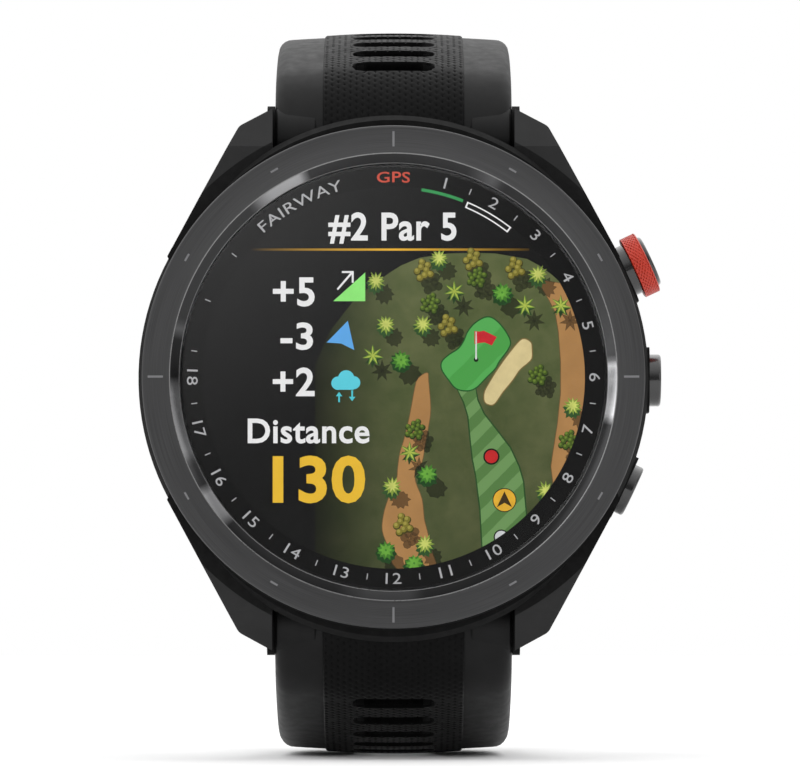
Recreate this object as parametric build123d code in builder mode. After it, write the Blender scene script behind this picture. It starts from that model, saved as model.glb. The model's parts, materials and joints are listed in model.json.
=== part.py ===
from build123d import *

import os
from math import cos, radians, sin

# Golf GPS watch: case and display, electronics, three push buttons and a two-piece strap.
# +X is 3 o'clock, +Z is 12 o'clock and +Y runs from the display to the wrist. The origin is the
# centre of the case back, where it meets the wrist. Depths are measured from the bezel's front.

# ---- Driving dimensions, mm ----

CASE_DEPTH = 13.8
CASE_R = 23.55
SHOULDER_X, SHOULDER_Z = 23.2, 24.35  # the shoulder is a little taller than wide
SHOULDER_FRONT, SHOULDER_BACK = 3.3, 4.2
FIT = 0.05  # radial clearance of shafts and stems
BEZEL_R = 23.1
BEZEL_FLAT_R = 20.6
LENS_R = 19.55
DISPLAY_R = 17.7
POCKET_R = 20.8  # front pocket of the case
CAVITY_R = 18.6  # main cavity of the case
COVER_R = 19.0
COVER_HOLE_R = 15.9
COVER_SCREW_R = 17.85
WINDOW_R = 8.0

LENS_FRONT, LENS_BACK = 0.6, 1.9
PANEL_FRONT, PANEL_BACK = 2.0, 2.85
BEZEL_BACK = 2.9
POCKET_FLOOR = 4.6
BOARD_FRONT, BOARD_BACK = 4.8, 5.5
CAVITY_FLOOR = 9.4
COVER_SEAT = 10.95
CASE_BACK = 11.9

LUG_GAP = 22.4
LUG_TIP_X, LUG_TIP_Z = 11.2, 25.15
LUG_CORNER = (14.3, 23.45)
LUG_BACK = 12.4
WELL_Z = 19.6  # flat wall behind each strap end
WELL_FRONT = 5.6
PIN_Z, PIN_DEPTH, PIN_R = 22.7, 8.8, 0.9
PIN_HALF = 12.3
PIN_SCREW_R, PIN_SCREW_T = 1.08, 0.6
COLLAR_R, COLLAR_IN, COLLAR_OUT = 2.85, 11.03, 11.75  # washers between the strap and the lugs

BUTTON_DEPTH = 6.8
BUTTON_ANGLES = {"action": 24.9, "menu": -0.25, "back": -25.25}
BUTTON_CROWNS = {"action": 26.3, "menu": 24.75, "back": 24.55}  # radius of each cap's outer face
BOSS_R = 23.65
BUTTON_R = 2.42
BUTTON_TRAVEL = 0.55
STEM_R = 0.8
RING_IN, RING_R, RING_W = 24.4, 2.95, 1.55

STRAP_W, STRAP_T = 22.0, 3.0
STRIP_W, STRIP_H = 12.9, 0.3
BARREL_R = 2.85  # rolled strap end around the lug pin
HOOK_W, HOOK_R = 14.0, 2.0
LATCH_TRAVEL = 2.2
SLOT_L, SLOT_W = 7.7, 2.2
BAR_R = 0.75
BAR_DROP = 1.9  # strap end to the buckle bar
BUCKLE_HALF, BUCKLE_L, BUCKLE_T = 12.1, 11.6, 1.8
TONGUE_W = 2.4
KEEPER_W, KEEPER_WALL = 4.2, 1.1


def y_at(depth):
    """Y of a depth behind the bezel's front."""
    return depth - CASE_DEPTH


def facing(depth):
    """Plane across the watch at a depth, its local x along X and local y along Z, facing forward."""
    return Plane.XZ.offset(-y_at(depth))


def radial(angle, radius, depth=BUTTON_DEPTH):
    """Plane on a radial axis above 3 o'clock, facing outward, its local x along the rim."""
    c, s = cos(radians(angle)), sin(radians(angle))
    return Plane(origin=(radius * c, y_at(depth), radius * s), x_dir=(-s, 0, c), z_dir=(c, 0, s))


def turned(*points):
    """Section to turn about the Y axis, from (radius, depth) points."""
    with BuildSketch(Plane.XY) as section:
        with BuildLine():
            Polyline(*[(r, y_at(d)) for r, d in points], close=True)
        make_face()
    return section.sketch


os.makedirs("parts", exist_ok=True)

# ---- Bezel, lens and display ----

with BuildPart() as bezel:
    revolve(
        turned(
            (BEZEL_FLAT_R, 0),
            (BEZEL_R - 0.12, 0),
            (BEZEL_R, 0.12),
            (BEZEL_R, 2.0),
            (BEZEL_R - 0.35, 2.3),
            (BEZEL_R - 0.35, BEZEL_BACK),
            (18.7, BEZEL_BACK),
            (18.7, 2.25),
            (LENS_R + FIT, 2.25),
            (LENS_R + FIT, LENS_FRONT),
        ),
        axis=Axis.Y,
    )
bezel.part.label = "bezel"
export_step(bezel.part, "parts/bezel.step")

with BuildPart() as display_lens:
    revolve(
        turned(
            (0, LENS_FRONT),
            (LENS_R - 0.15, LENS_FRONT),
            (LENS_R, LENS_FRONT + 0.15),
            (LENS_R, LENS_BACK),
            (0, LENS_BACK),
        ),
        axis=Axis.Y,
    )
display_lens.part.label = "display_lens"
export_step(display_lens.part, "parts/display_lens.step")

with BuildPart() as hole_scale_ring:
    with BuildSketch(facing(2.05)):
        Circle(19.4)
        Circle(17.8, mode=Mode.SUBTRACT)
    extrude(amount=0.1)
hole_scale_ring.part.label = "hole_scale_ring"
export_step(hole_scale_ring.part, "parts/hole_scale_ring.step")

with BuildPart() as lens_gasket:
    with BuildSketch(facing(2.25)):
        Circle(19.45)
        Circle(18.75, mode=Mode.SUBTRACT)
    extrude(amount=2.25 - 2.05)
lens_gasket.part.label = "lens_gasket"
export_step(lens_gasket.part, "parts/lens_gasket.step")

with BuildPart() as display_panel:
    with BuildSketch(facing(PANEL_BACK)):
        Circle(DISPLAY_R)
    extrude(amount=PANEL_BACK - PANEL_FRONT)
display_panel.part.label = "display_panel"
export_step(display_panel.part, "parts/display_panel.step")

RIBBON_Z = -15.4
with BuildPart() as mid_frame:
    with BuildSketch(facing(3.8)):
        Circle(POCKET_R - 0.2)
        with Locations((0, RIBBON_Z)):
            Rectangle(9.2, 1.4, mode=Mode.SUBTRACT)
    extrude(amount=3.8 - BEZEL_BACK)
    with BuildSketch(facing(3.0)):
        Circle(DISPLAY_R + 0.2)
    extrude(amount=3.0 - BEZEL_BACK, mode=Mode.SUBTRACT)
mid_frame.part.label = "mid_frame"
export_step(mid_frame.part, "parts/mid_frame.step")

with BuildPart() as display_ribbon:
    with BuildSketch(Plane.YZ):
        with BuildLine():
            Polyline(
                (y_at(2.85), -13.2),
                (y_at(2.85), RIBBON_Z - 0.06),
                (y_at(5.72), RIBBON_Z - 0.06),
                (y_at(5.72), -13.4),
                (y_at(5.6), -13.4),
                (y_at(5.6), RIBBON_Z + 0.06),
                (y_at(2.97), RIBBON_Z + 0.06),
                (y_at(2.97), -13.2),
                close=True,
            )
        make_face()
    extrude(amount=4.0, both=True)
display_ribbon.part.label = "display_ribbon"
export_step(display_ribbon.part, "parts/display_ribbon.step")

# ---- Electronics ----

with BuildPart() as antenna_ring:
    with BuildSketch(facing(4.5)):
        Circle(20.5)
        Circle(19.1, mode=Mode.SUBTRACT)
        with Locations((0, -20)):
            Rectangle(3.0, 4.0, mode=Mode.SUBTRACT)
    extrude(amount=4.5 - 3.9)
antenna_ring.part.label = "antenna_ring"
export_step(antenna_ring.part, "parts/antenna_ring.step")

with BuildPart() as main_board:
    with BuildSketch(facing(BOARD_BACK)):
        Circle(CAVITY_R - 0.3)
        with Locations((0, -17)):  # notch for the display ribbon
            Rectangle(9.2, 4.4, mode=Mode.SUBTRACT)
        with PolarLocations(16.9, 3, start_angle=150, angular_range=90, endpoint=True):
            Circle(0.6, mode=Mode.SUBTRACT)
    extrude(amount=BOARD_BACK - BOARD_FRONT)
main_board.part.label = "main_board"
export_step(main_board.part, "parts/main_board.step")

with BuildPart() as processor_shield:
    with BuildSketch(facing(7.0)):
        with Locations((9.1, 0)):
            RectangleRounded(6.6, 15.0, 0.8)
    extrude(amount=7.0 - BOARD_BACK)
processor_shield.part.label = "processor_shield"
export_step(processor_shield.part, "parts/processor_shield.step")

with BuildPart() as battery:
    with BuildSketch(facing(9.2)):
        with Locations((-4.9, -0.6)):
            RectangleRounded(18.6, 20.6, 1.6)
    extrude(amount=9.2 - 5.8)
battery.part.label = "battery"
export_step(battery.part, "parts/battery.step")

MOTOR_Z, MOTOR_R = 14.2, 4.0
MOTOR_FRONT, MOTOR_BACK = 5.55, 8.35
with BuildPart() as motor_can:
    with BuildSketch(facing(MOTOR_BACK)):
        with Locations((0, MOTOR_Z)):
            Circle(MOTOR_R)
    extrude(amount=MOTOR_BACK - MOTOR_FRONT)
    with BuildSketch(facing(MOTOR_BACK - 0.25)):
        with Locations((0, MOTOR_Z)):
            Circle(MOTOR_R - 0.25)
            Circle(0.4, mode=Mode.SUBTRACT)
    extrude(amount=MOTOR_BACK - MOTOR_FRONT - 0.5, mode=Mode.SUBTRACT)
motor_can.part.label = "motor_can"
export_step(motor_can.part, "parts/motor_can.step")

with BuildPart() as motor_weight:
    with BuildSketch(facing(MOTOR_BACK - 0.5)):
        with Locations((0, MOTOR_Z)):
            Circle(MOTOR_R - 0.6)
            Circle(0.4 + FIT, mode=Mode.SUBTRACT)
        with Locations((0, MOTOR_Z + 3.4)):
            Rectangle(8, 5.0, mode=Mode.SUBTRACT)
    extrude(amount=MOTOR_BACK - MOTOR_FRONT - 1.0)
motor_weight.part.label = "motor_weight"
export_step(motor_weight.part, "parts/motor_weight.step")

# ---- Main case ----


def obround(angle, radius, length, width):
    """Rounded boss outline on a button's axis."""
    with BuildSketch(radial(angle, radius)) as outline:
        RectangleRounded(length, width, 1.2)
    return outline.sketch


with BuildPart() as main_case:
    with BuildSketch(facing(LUG_BACK)) as lug_outline:
        with BuildLine():
            Polyline(
                (LUG_TIP_X, 8.0),
                (LUG_TIP_X, LUG_TIP_Z),
                LUG_CORNER,
                (20.87, 11.24),
                (19.5, 8.0),
                close=True,
            )
        make_face()
        fillet(lug_outline.vertices().group_by(Axis.Y)[-2], 1.1)
        mirror(about=Plane.YZ)
        mirror(about=Plane.XZ)
    extrude(amount=LUG_BACK - 3.0)
    # The lug faces slope back towards the tips
    with BuildSketch(Plane.YZ) as side_outline:
        with BuildLine():
            Polyline(
                (y_at(0), 0),
                (y_at(0), 12.0),
                (y_at(3.2), 12.0),
                (y_at(3.3), 16.5),
                (y_at(4.2), 21.5),
                (y_at(6.0), 25.2),
                (y_at(LUG_BACK), 25.2),
                (y_at(LUG_BACK), 20.5),
                (y_at(CASE_BACK), 16.0),
                (y_at(CASE_BACK), 0),
                close=True,
            )
        make_face()
        mirror(about=Plane.XZ)
    extrude(amount=30, both=True, mode=Mode.INTERSECT)
    revolve(
        turned(
            (0, BEZEL_BACK),
            (22.75, BEZEL_BACK),
            (23.2, 3.2),
            (CASE_R, 3.9),
            (CASE_R, 8.4),
            (23.2, 9.8),
            (21.6, CASE_BACK),
            (0, CASE_BACK),
        ),
        axis=Axis.Y,
    )
    with BuildSketch(facing(SHOULDER_BACK)):
        Ellipse(SHOULDER_X, SHOULDER_Z)
    with BuildSketch(facing(SHOULDER_FRONT)):
        Ellipse(SHOULDER_X - 0.5, SHOULDER_Z - 0.5)
    loft()
    for angle in BUTTON_ANGLES.values():
        extrude(obround(angle, 21.0, 6.05, 5.8), amount=BOSS_R - 21.0)
    # Pocket, cavity, cover hole and cover seat
    for radius, front, back in (
        (POCKET_R, BEZEL_BACK, POCKET_FLOOR),
        (CAVITY_R, POCKET_FLOOR, CAVITY_FLOOR),
        (COVER_HOLE_R, CAVITY_FLOOR, COVER_SEAT),
        (COVER_R + FIT, COVER_SEAT, LUG_BACK + 1),
    ):
        with BuildSketch(facing(back)):
            Circle(radius)
        extrude(amount=back - front, mode=Mode.SUBTRACT)
    with BuildSketch(facing(COVER_SEAT)):  # gasket groove
        Circle(16.85)
        Circle(16.15, mode=Mode.SUBTRACT)
    extrude(amount=0.45, mode=Mode.SUBTRACT)
    with BuildSketch(facing(COVER_SEAT)):
        with PolarLocations(COVER_SCREW_R, 4, start_angle=45):
            Circle(0.52)
    extrude(amount=1.3, mode=Mode.SUBTRACT)
    # Wells for the strap ends, with a sloped front edge that clears the strap as it swings
    with BuildSketch(Plane.YZ):
        with BuildLine():
            Polyline(
                (y_at(SHOULDER_BACK + 0.05), SHOULDER_Z + 0.05),
                (y_at(WELL_FRONT), 21.0),
                (y_at(WELL_FRONT), WELL_Z),
                (y_at(LUG_BACK + 1), WELL_Z),
                (y_at(LUG_BACK + 1), 28.0),
                (y_at(SHOULDER_BACK + 0.05), 28.0),
                close=True,
            )
        make_face()
        mirror(about=Plane.XZ)
    extrude(amount=LUG_GAP / 2, both=True, mode=Mode.SUBTRACT)
    # Lug pin holes, recesses for the collars and counterbores for the lug screws
    with BuildSketch(Plane.YZ.offset(-COLLAR_OUT)):
        with Locations((y_at(PIN_DEPTH), PIN_Z), (y_at(PIN_DEPTH), -PIN_Z)):
            Circle(COLLAR_R + FIT)
    extrude(amount=2 * COLLAR_OUT, mode=Mode.SUBTRACT)
    with BuildSketch(Plane.YZ.offset(-PIN_HALF)):
        with Locations((y_at(PIN_DEPTH), PIN_Z), (y_at(PIN_DEPTH), -PIN_Z)):
            Circle(PIN_R + 0.01)
    extrude(amount=2 * PIN_HALF, mode=Mode.SUBTRACT)
    for side in (-1, 1):
        with BuildSketch(Plane.YZ.offset(side * PIN_HALF)):
            with Locations((y_at(PIN_DEPTH), PIN_Z), (y_at(PIN_DEPTH), -PIN_Z)):
                Circle(PIN_SCREW_R + 0.04)
        extrude(amount=side * 4.0, mode=Mode.SUBTRACT)
    # Button bores
    for name, angle in BUTTON_ANGLES.items():
        with BuildSketch(radial(angle, 21.9)):
            Circle(BUTTON_R + 0.13)
        extrude(amount=4, mode=Mode.SUBTRACT)
        with BuildSketch(radial(angle, 17.5)):
            Circle(STEM_R + FIT)
        extrude(amount=5, mode=Mode.SUBTRACT)
main_case.part.label = "main_case"
export_step(main_case.part, "parts/main_case.step")

for end, sign in (("upper", 1), ("lower", -1)):
    with BuildPart() as lug_pin:
        with BuildSketch(Plane.YZ.offset(-PIN_HALF)):
            with Locations((y_at(PIN_DEPTH), sign * PIN_Z)):
                Circle(PIN_R)
        extrude(amount=2 * PIN_HALF)
    lug_pin.part.label = f"{end}_lug_pin"
    export_step(lug_pin.part, f"parts/{end}_lug_pin.step")
    with BuildPart() as pin_collars:
        for side in (-1, 1):
            with BuildSketch(Plane.YZ.offset(side * COLLAR_IN)):
                with Locations((y_at(PIN_DEPTH), sign * PIN_Z)):
                    Circle(COLLAR_R)
                    Circle(PIN_R + 0.02, mode=Mode.SUBTRACT)
            extrude(amount=side * (COLLAR_OUT - COLLAR_IN - 0.02))
    pin_collars.part.label = f"{end}_pin_collars"
    export_step(pin_collars.part, f"parts/{end}_pin_collars.step")
    for hand, side in (("left", -1), ("right", 1)):
        with BuildPart() as lug_screw:
            with BuildSketch(Plane.YZ.offset(side * PIN_HALF)):
                with Locations((y_at(PIN_DEPTH), sign * PIN_Z)):
                    Circle(PIN_SCREW_R)
            extrude(amount=side * PIN_SCREW_T)
            with BuildSketch(Plane.YZ.offset(side * (PIN_HALF + PIN_SCREW_T))):
                with Locations((y_at(PIN_DEPTH), sign * PIN_Z)):
                    RegularPolygon(0.52, 6)
            extrude(amount=-side * 0.4, mode=Mode.SUBTRACT)
        lug_screw.part.label = f"{end}_lug_screw_{hand}"
        export_step(lug_screw.part, f"parts/{end}_lug_screw_{hand}.step")

# ---- Case back ----

PORT_Z = -12.6
with BuildPart() as rear_cover:
    revolve(
        turned(
            (7.0, COVER_SEAT),
            (COVER_R, COVER_SEAT),
            (COVER_R, CASE_BACK),
            (17.2, 12.45),
            (9.6, 12.9),
            (8.9, 13.25),
            (WINDOW_R + FIT, 13.25),
            (WINDOW_R + FIT, 12.3),
            (7.0, 12.3),
        ),
        axis=Axis.Y,
    )
    with BuildSketch(facing(13.5)):  # charging port hole
        with Locations((0, PORT_Z)):
            RectangleRounded(7.4, 3.4, 0.9)
    extrude(amount=4, mode=Mode.SUBTRACT)
    with BuildSketch(facing(13.5)):
        with PolarLocations(COVER_SCREW_R, 4, start_angle=45):
            Circle(0.6)
    extrude(amount=4, mode=Mode.SUBTRACT)
    with BuildSketch(facing(13.5)):
        with PolarLocations(COVER_SCREW_R, 4, start_angle=45):
            Circle(0.92)
    extrude(amount=13.5 - 11.55, mode=Mode.SUBTRACT)
    with BuildSketch(facing(13.5)):  # barometer vent seat
        with Locations((-11.5, 6.0)):
            Circle(1.25)
    extrude(amount=4, mode=Mode.SUBTRACT)
rear_cover.part.label = "rear_cover"
export_step(rear_cover.part, "parts/rear_cover.step")

with BuildPart() as rear_gasket:
    with BuildSketch(facing(COVER_SEAT)):
        Circle(16.8)
        Circle(16.2, mode=Mode.SUBTRACT)
    extrude(amount=0.42)
rear_gasket.part.label = "rear_gasket"
export_step(rear_gasket.part, "parts/rear_gasket.step")

for number in range(1, 5):
    place = (COVER_SCREW_R * cos(radians(90 * number - 45)), COVER_SCREW_R * sin(radians(90 * number - 45)))
    with BuildPart() as rear_screw:
        with BuildSketch(facing(12.15)):
            with Locations(place):
                Circle(0.88)
        extrude(amount=12.15 - 11.55)
        with BuildSketch(facing(11.6)):
            with Locations(place):
                Circle(0.5)
        extrude(amount=11.6 - 9.8)
        with BuildSketch(facing(12.15)):
            with Locations(place):
                RegularPolygon(0.45, 6)
        extrude(amount=0.35, mode=Mode.SUBTRACT)
    rear_screw.part.label = f"rear_screw_{number}"
    export_step(rear_screw.part, f"parts/rear_screw_{number}.step")

with BuildPart() as sensor_window:
    revolve(
        turned(
            (0, 12.35),
            (WINDOW_R, 12.35),
            (WINDOW_R, 13.3),
            (7.6, 13.6),
            (6.9, CASE_DEPTH),
            (0, CASE_DEPTH),
        ),
        axis=Axis.Y,
    )
sensor_window.part.label = "sensor_window"
export_step(sensor_window.part, "parts/sensor_window.step")

with BuildPart() as sensor_board:
    with BuildSketch(facing(11.8)):
        Circle(6.9)
    extrude(amount=0.6)
sensor_board.part.label = "sensor_board"
export_step(sensor_board.part, "parts/sensor_board.step")

for name, spots, size in (
    ("sensor_leds", [(-1.1, 0), (1.1, 0)], 1.2),
    ("sensor_photodiodes", [(-4.4, 0), (4.4, 0), (0, 4.4), (0, -4.4)], 1.8),
):
    with BuildPart() as emitters:
        with BuildSketch(facing(12.25)):
            with Locations(*spots):
                Rectangle(size, size)
        extrude(amount=12.25 - 11.8)
    emitters.part.label = name
    export_step(emitters.part, f"parts/{name}.step")

with BuildPart() as charge_port:
    with BuildSketch(facing(12.7)):
        with Locations((0, PORT_Z)):
            RectangleRounded(7.36, 3.36, 0.88)
    extrude(amount=12.7 - 10.2)
    with BuildSketch(facing(12.7)):
        with Locations((0, PORT_Z)):
            RectangleRounded(6.2, 2.3, 0.5)
    extrude(amount=1.9, mode=Mode.SUBTRACT)
charge_port.part.label = "charge_port"
export_step(charge_port.part, "parts/charge_port.step")

with BuildPart() as charge_contacts:
    with BuildSketch(facing(12.1)):
        with Locations((0, PORT_Z)):
            with GridLocations(1.4, 1.0, 4, 1):
                Circle(0.3)
    extrude(amount=12.1 - 10.8)
charge_contacts.part.label = "charge_contacts"
export_step(charge_contacts.part, "parts/charge_contacts.step")

with BuildPart() as barometer_vent:
    with BuildSketch(facing(12.6)):
        with Locations((-11.5, 6.0)):
            Circle(1.22)
            with PolarLocations(0.65, 5):
                Circle(0.18, mode=Mode.SUBTRACT)
    extrude(amount=12.6 - 11.3)
barometer_vent.part.label = "barometer_vent"
export_step(barometer_vent.part, "parts/barometer_vent.step")

# ---- Buttons ----

HEAD_IN = 22.6  # radius of the cap's inner face
for name, angle in BUTTON_ANGLES.items():
    crown = BUTTON_CROWNS[name]
    with BuildPart() as cap:
        with BuildSketch(radial(angle, HEAD_IN)):
            Circle(BUTTON_R)
        extrude(amount=crown - HEAD_IN)
        rims = cap.edges().filter_by(GeomType.CIRCLE)
        fillet(rims.sort_by_distance(radial(angle, crown).origin)[0], 0.25)
        with BuildSketch(radial(angle, 17.7)):
            Circle(STEM_R)
        extrude(amount=HEAD_IN - 17.7 + 0.2)
        with BuildSketch(radial(angle, 20.0)):  # seal groove
            Circle(STEM_R + 0.1)
            Circle(0.55, mode=Mode.SUBTRACT)
        extrude(amount=0.8, mode=Mode.SUBTRACT)
        with BuildSketch(radial(angle, 18.0)):  # clip groove
            Circle(STEM_R + 0.1)
            Circle(0.6, mode=Mode.SUBTRACT)
        extrude(amount=0.3, mode=Mode.SUBTRACT)
        if name == "action":
            with BuildSketch(radial(angle, RING_IN)):
                Circle(BUTTON_R + 0.1)
                Circle(2.2, mode=Mode.SUBTRACT)
            extrude(amount=RING_W, mode=Mode.SUBTRACT)
    cap.part.label = f"{name}_button_cap"
    export_step(cap.part, f"parts/{name}_button_cap.step")

    with BuildPart() as seal:
        with BuildSketch(radial(angle, 20.08)):
            Circle(STEM_R + 0.03)
            Circle(0.56, mode=Mode.SUBTRACT)
        extrude(amount=0.64)
    seal.part.label = f"{name}_button_seal"
    export_step(seal.part, f"parts/{name}_button_seal.step")

    with BuildPart() as clip:
        with BuildSketch(radial(angle, 18.03)):
            Circle(1.35)
            Circle(0.61, mode=Mode.SUBTRACT)
        extrude(amount=0.24)
    clip.part.label = f"{name}_button_clip"
    export_step(clip.part, f"parts/{name}_button_clip.step")

    with BuildPart() as switch:
        with BuildSketch(radial(angle, 14.4, depth=6.75)):
            Rectangle(4.2, 2.4)
        extrude(amount=1.9)
        with BuildSketch(radial(angle, 16.3)):
            Circle(0.7)
        extrude(amount=0.7)
    switch.part.label = f"{name}_switch"
    export_step(switch.part, f"parts/{name}_switch.step")

with BuildPart() as action_button_ring:
    with BuildSketch(radial(BUTTON_ANGLES["action"], RING_IN + 0.01)):
        Circle(RING_R)
        Circle(2.22, mode=Mode.SUBTRACT)
    extrude(amount=RING_W - 0.02)
    fillet(action_button_ring.edges().filter_by(GeomType.CIRCLE).sort_by(SortBy.RADIUS)[-2:], 0.15)
action_button_ring.part.label = "action_button_ring"
export_step(action_button_ring.part, "parts/action_button_ring.step")

# ---- Strap ----

# Outer face of each half from the lug pin, as (radius, turn in degrees) arcs and (0, length) lines.
# Headings are angles from +Y towards the tip, and the lower half is drawn mirrored. Slots are the
# distance from the pin to the first one, the plain length after the last one, and their pitch.
HALVES = {
    "upper": {
        "sign": 1,
        "heading": 83,
        "runs": [(8, -60), (59.4, -17), (20, -96), (0, 20)],
        "slots": (7.9, 23.0, 3.9),
    },
    "lower": {
        "sign": -1,
        "heading": 84,
        "runs": [(8, -60), (62, -24), (0, 8), (30, -80), (0, 34)],
        "slots": (9.3, 14.0, 4.6),
    },
}


def outer_path(half, offset):
    """Path of the half's outer face moved outward by an offset, in the YZ plane."""
    h = radians(half["heading"])
    reach = BARREL_R + offset
    spot = Vector(y_at(PIN_DEPTH) - reach * sin(h), PIN_Z + reach * cos(h))
    way = Vector(cos(h), sin(h))
    with BuildLine() as path:
        for radius, turn in half["runs"]:
            if radius:
                grown = radius + offset if turn < 0 else radius - offset
                run = JernArc(start=spot, tangent=way, radius=grown, arc_size=turn)
            else:
                run = PolarLine(start=spot, length=turn, direction=way)
            spot = run @ 1
            way = run % 1
    return path.wire()


def band(half, low, high, width):
    """Strip of strap between two offsets from its outer face."""
    outside = outer_path(half, high)
    inside = outer_path(half, low)
    with BuildPart() as strip:
        with BuildSketch(Plane.YZ):
            with BuildLine():
                add(outside)
                add(inside)
                Line(outside @ 0, inside @ 0)
                Line(outside @ 1, inside @ 1)
            make_face()
        extrude(amount=width / 2, both=True)
    return strip.part


def pin_bar(radius, width):
    """Bar along the upper lug pin."""
    with BuildPart() as bar:
        with BuildSketch(Plane.YZ):
            with Locations((y_at(PIN_DEPTH), PIN_Z)):
                Circle(radius)
        extrude(amount=width / 2, both=True)
    return bar.part


def latch_plane(half):
    """Plane at the pin whose local x runs along the latch and local y towards the wrist."""
    h = radians(half["heading"] - 28)
    return Plane(origin=(0, y_at(PIN_DEPTH), PIN_Z), x_dir=(0, cos(h), sin(h)), z_dir=(-1, 0, 0))


def strap_station(half, distance):
    """Plane on the outer face at a distance along it, its local x along X, facing outward."""
    path = outer_path(half, STRIP_H)
    spot = path.position_at(distance, position_mode=PositionMode.LENGTH)
    way = path.tangent_at(distance, position_mode=PositionMode.LENGTH)
    return Plane(origin=(0, spot.X, spot.Y), x_dir=(1, 0, 0), z_dir=(0, -way.Y, way.X))


# Half-widths of each half against Y: full at the lugs, narrower towards the tips
TAPERS = {
    "upper": [(-15, STRAP_W / 2), (14, STRAP_W / 2), (34, 9.9), (60, 9.9)],
    "lower": [(-15, STRAP_W / 2), (14, STRAP_W / 2), (60, 10.0), (90, 10.0)],
}

end_spot = outer_path(HALVES["upper"], 0) @ 1
END_Y, END_Z = end_spot.X, end_spot.Y  # outer face at the buckle end of the upper half
BAR_Y, BAR_Z = END_Y - STRAP_T / 2, END_Z - BAR_DROP

for end, half in HALVES.items():
    slab = band(half, -STRAP_T, 0, STRAP_W)
    length = outer_path(half, 0).length
    first, plain, pitch = half["slots"]

    with BuildPart() as strap:
        add(slab)
        add(band(half, -0.5, STRIP_H, STRIP_W))
        add(pin_bar(BARREL_R, STRAP_W))
        with BuildSketch(Plane.XY):
            with BuildLine():
                edge = [(x, y) for y, x in TAPERS[end]]
                Polyline(*edge, *[(-x, y) for x, y in reversed(edge)], close=True)
            make_face()
        extrude(amount=45, both=True, mode=Mode.INTERSECT)
        add(pin_bar(HOOK_R + 0.02, HOOK_W + 0.1), mode=Mode.SUBTRACT)
        add(pin_bar(PIN_R + 0.2, STRAP_W + 2), mode=Mode.SUBTRACT)
        # Underside pocket for the hook
        with BuildSketch(latch_plane(half)):
            with Locations((0.5, 2.35)):
                Rectangle(7.0, 3.7)
        pocket = extrude(amount=HOOK_W / 2 + 0.05, both=True, mode=Mode.PRIVATE)
        add(pocket - slab, mode=Mode.SUBTRACT)
        for step in range(int((length - plain - first) / pitch) + 1):
            with BuildSketch(strap_station(half, first + step * pitch)):
                SlotOverall(SLOT_L, SLOT_W)
            extrude(amount=-(STRAP_T + STRIP_H + 0.6), mode=Mode.SUBTRACT)
        if end == "upper":
            # Rolled end around the buckle bar, notched for the tongue
            with BuildSketch(Plane.YZ):
                with Locations((BAR_Y, BAR_Z)):
                    Circle(1.75)
                with Locations((BAR_Y, BAR_Z + BAR_DROP / 2)):
                    Rectangle(STRAP_T, BAR_DROP)
            extrude(amount=9.9, both=True)
            with BuildSketch(Plane.YZ):
                with Locations((BAR_Y, BAR_Z)):
                    Circle(BAR_R)
            extrude(amount=12, both=True, mode=Mode.SUBTRACT)
            with Locations((0, BAR_Y, BAR_Z)):
                Box(TONGUE_W + 0.6, 5, 8, mode=Mode.SUBTRACT)
        else:
            # Rounded tip
            with BuildSketch(strap_station(half, length - 10)):
                Rectangle(24, 11, align=(Align.CENTER, Align.MIN))
                Circle(10, mode=Mode.SUBTRACT)
            extrude(amount=6, both=True, mode=Mode.SUBTRACT)
            mirror(about=Plane.XY, mode=Mode.REPLACE)
    strap.part.label = f"{end}_strap"
    export_step(strap.part, f"parts/{end}_strap.step")

    with BuildPart() as hook:
        with BuildSketch(latch_plane(half)) as hook_outline:
            Circle(BARREL_R - 0.02)
            with BuildLine():
                Polyline((0, 0.52), (0, BARREL_R - 0.02), (8.2, BARREL_R - 0.02), (8.2, 0.52), close=True)
            make_face()
            with Locations((0, -4.48)):
                Rectangle(20, 10, mode=Mode.SUBTRACT)
        extrude(amount=HOOK_W / 2, both=True)
        add(slab, mode=Mode.SUBTRACT)
        add(pin_bar(HOOK_R, HOOK_W))
        add(pin_bar(PIN_R + FIT, HOOK_W + 2), mode=Mode.SUBTRACT)
        with BuildSketch(latch_plane(half)):  # mouth that lets the pin in from the wrist side
            with Locations((0, 1.7)):
                Rectangle(2 * (PIN_R + FIT), 3.4)
        extrude(amount=HOOK_W, both=True, mode=Mode.SUBTRACT)
        with BuildSketch(latch_plane(half)):  # channel for the latch
            with Locations((2.6, 2.9)):
                Rectangle(9.6, 2.0)
        extrude(amount=4.1, both=True, mode=Mode.SUBTRACT)
        if end == "lower":
            mirror(about=Plane.XY, mode=Mode.REPLACE)
    hook.part.label = f"{end}_strap_hook"
    export_step(hook.part, f"parts/{end}_strap_hook.step")

    with BuildPart() as latch:
        with BuildSketch(latch_plane(half)):  # narrow nose that closes the hook's mouth
            with Locations((1.1, 2.35)):
                Rectangle(3.0, 0.8)
        extrude(amount=2.6, both=True)
        with BuildSketch(latch_plane(half)):  # finger pad with its ridges
            with Locations((3.1, 2.35)):
                Rectangle(3.6, 0.8)
            for ridge in (2.6, 3.5, 4.4):
                with Locations((ridge, 2.9)):
                    Rectangle(0.45, 0.5)
        extrude(amount=3.9, both=True)
        if end == "lower":
            mirror(about=Plane.XY, mode=Mode.REPLACE)
    latch.part.label = f"{end}_latch"
    export_step(latch.part, f"parts/{end}_latch.step")
    print(end, "strap", round(length, 1), "end", round(END_Y, 2), round(END_Z, 2))

# ---- Keepers and buckle, on the straight end of the upper half ----

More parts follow.
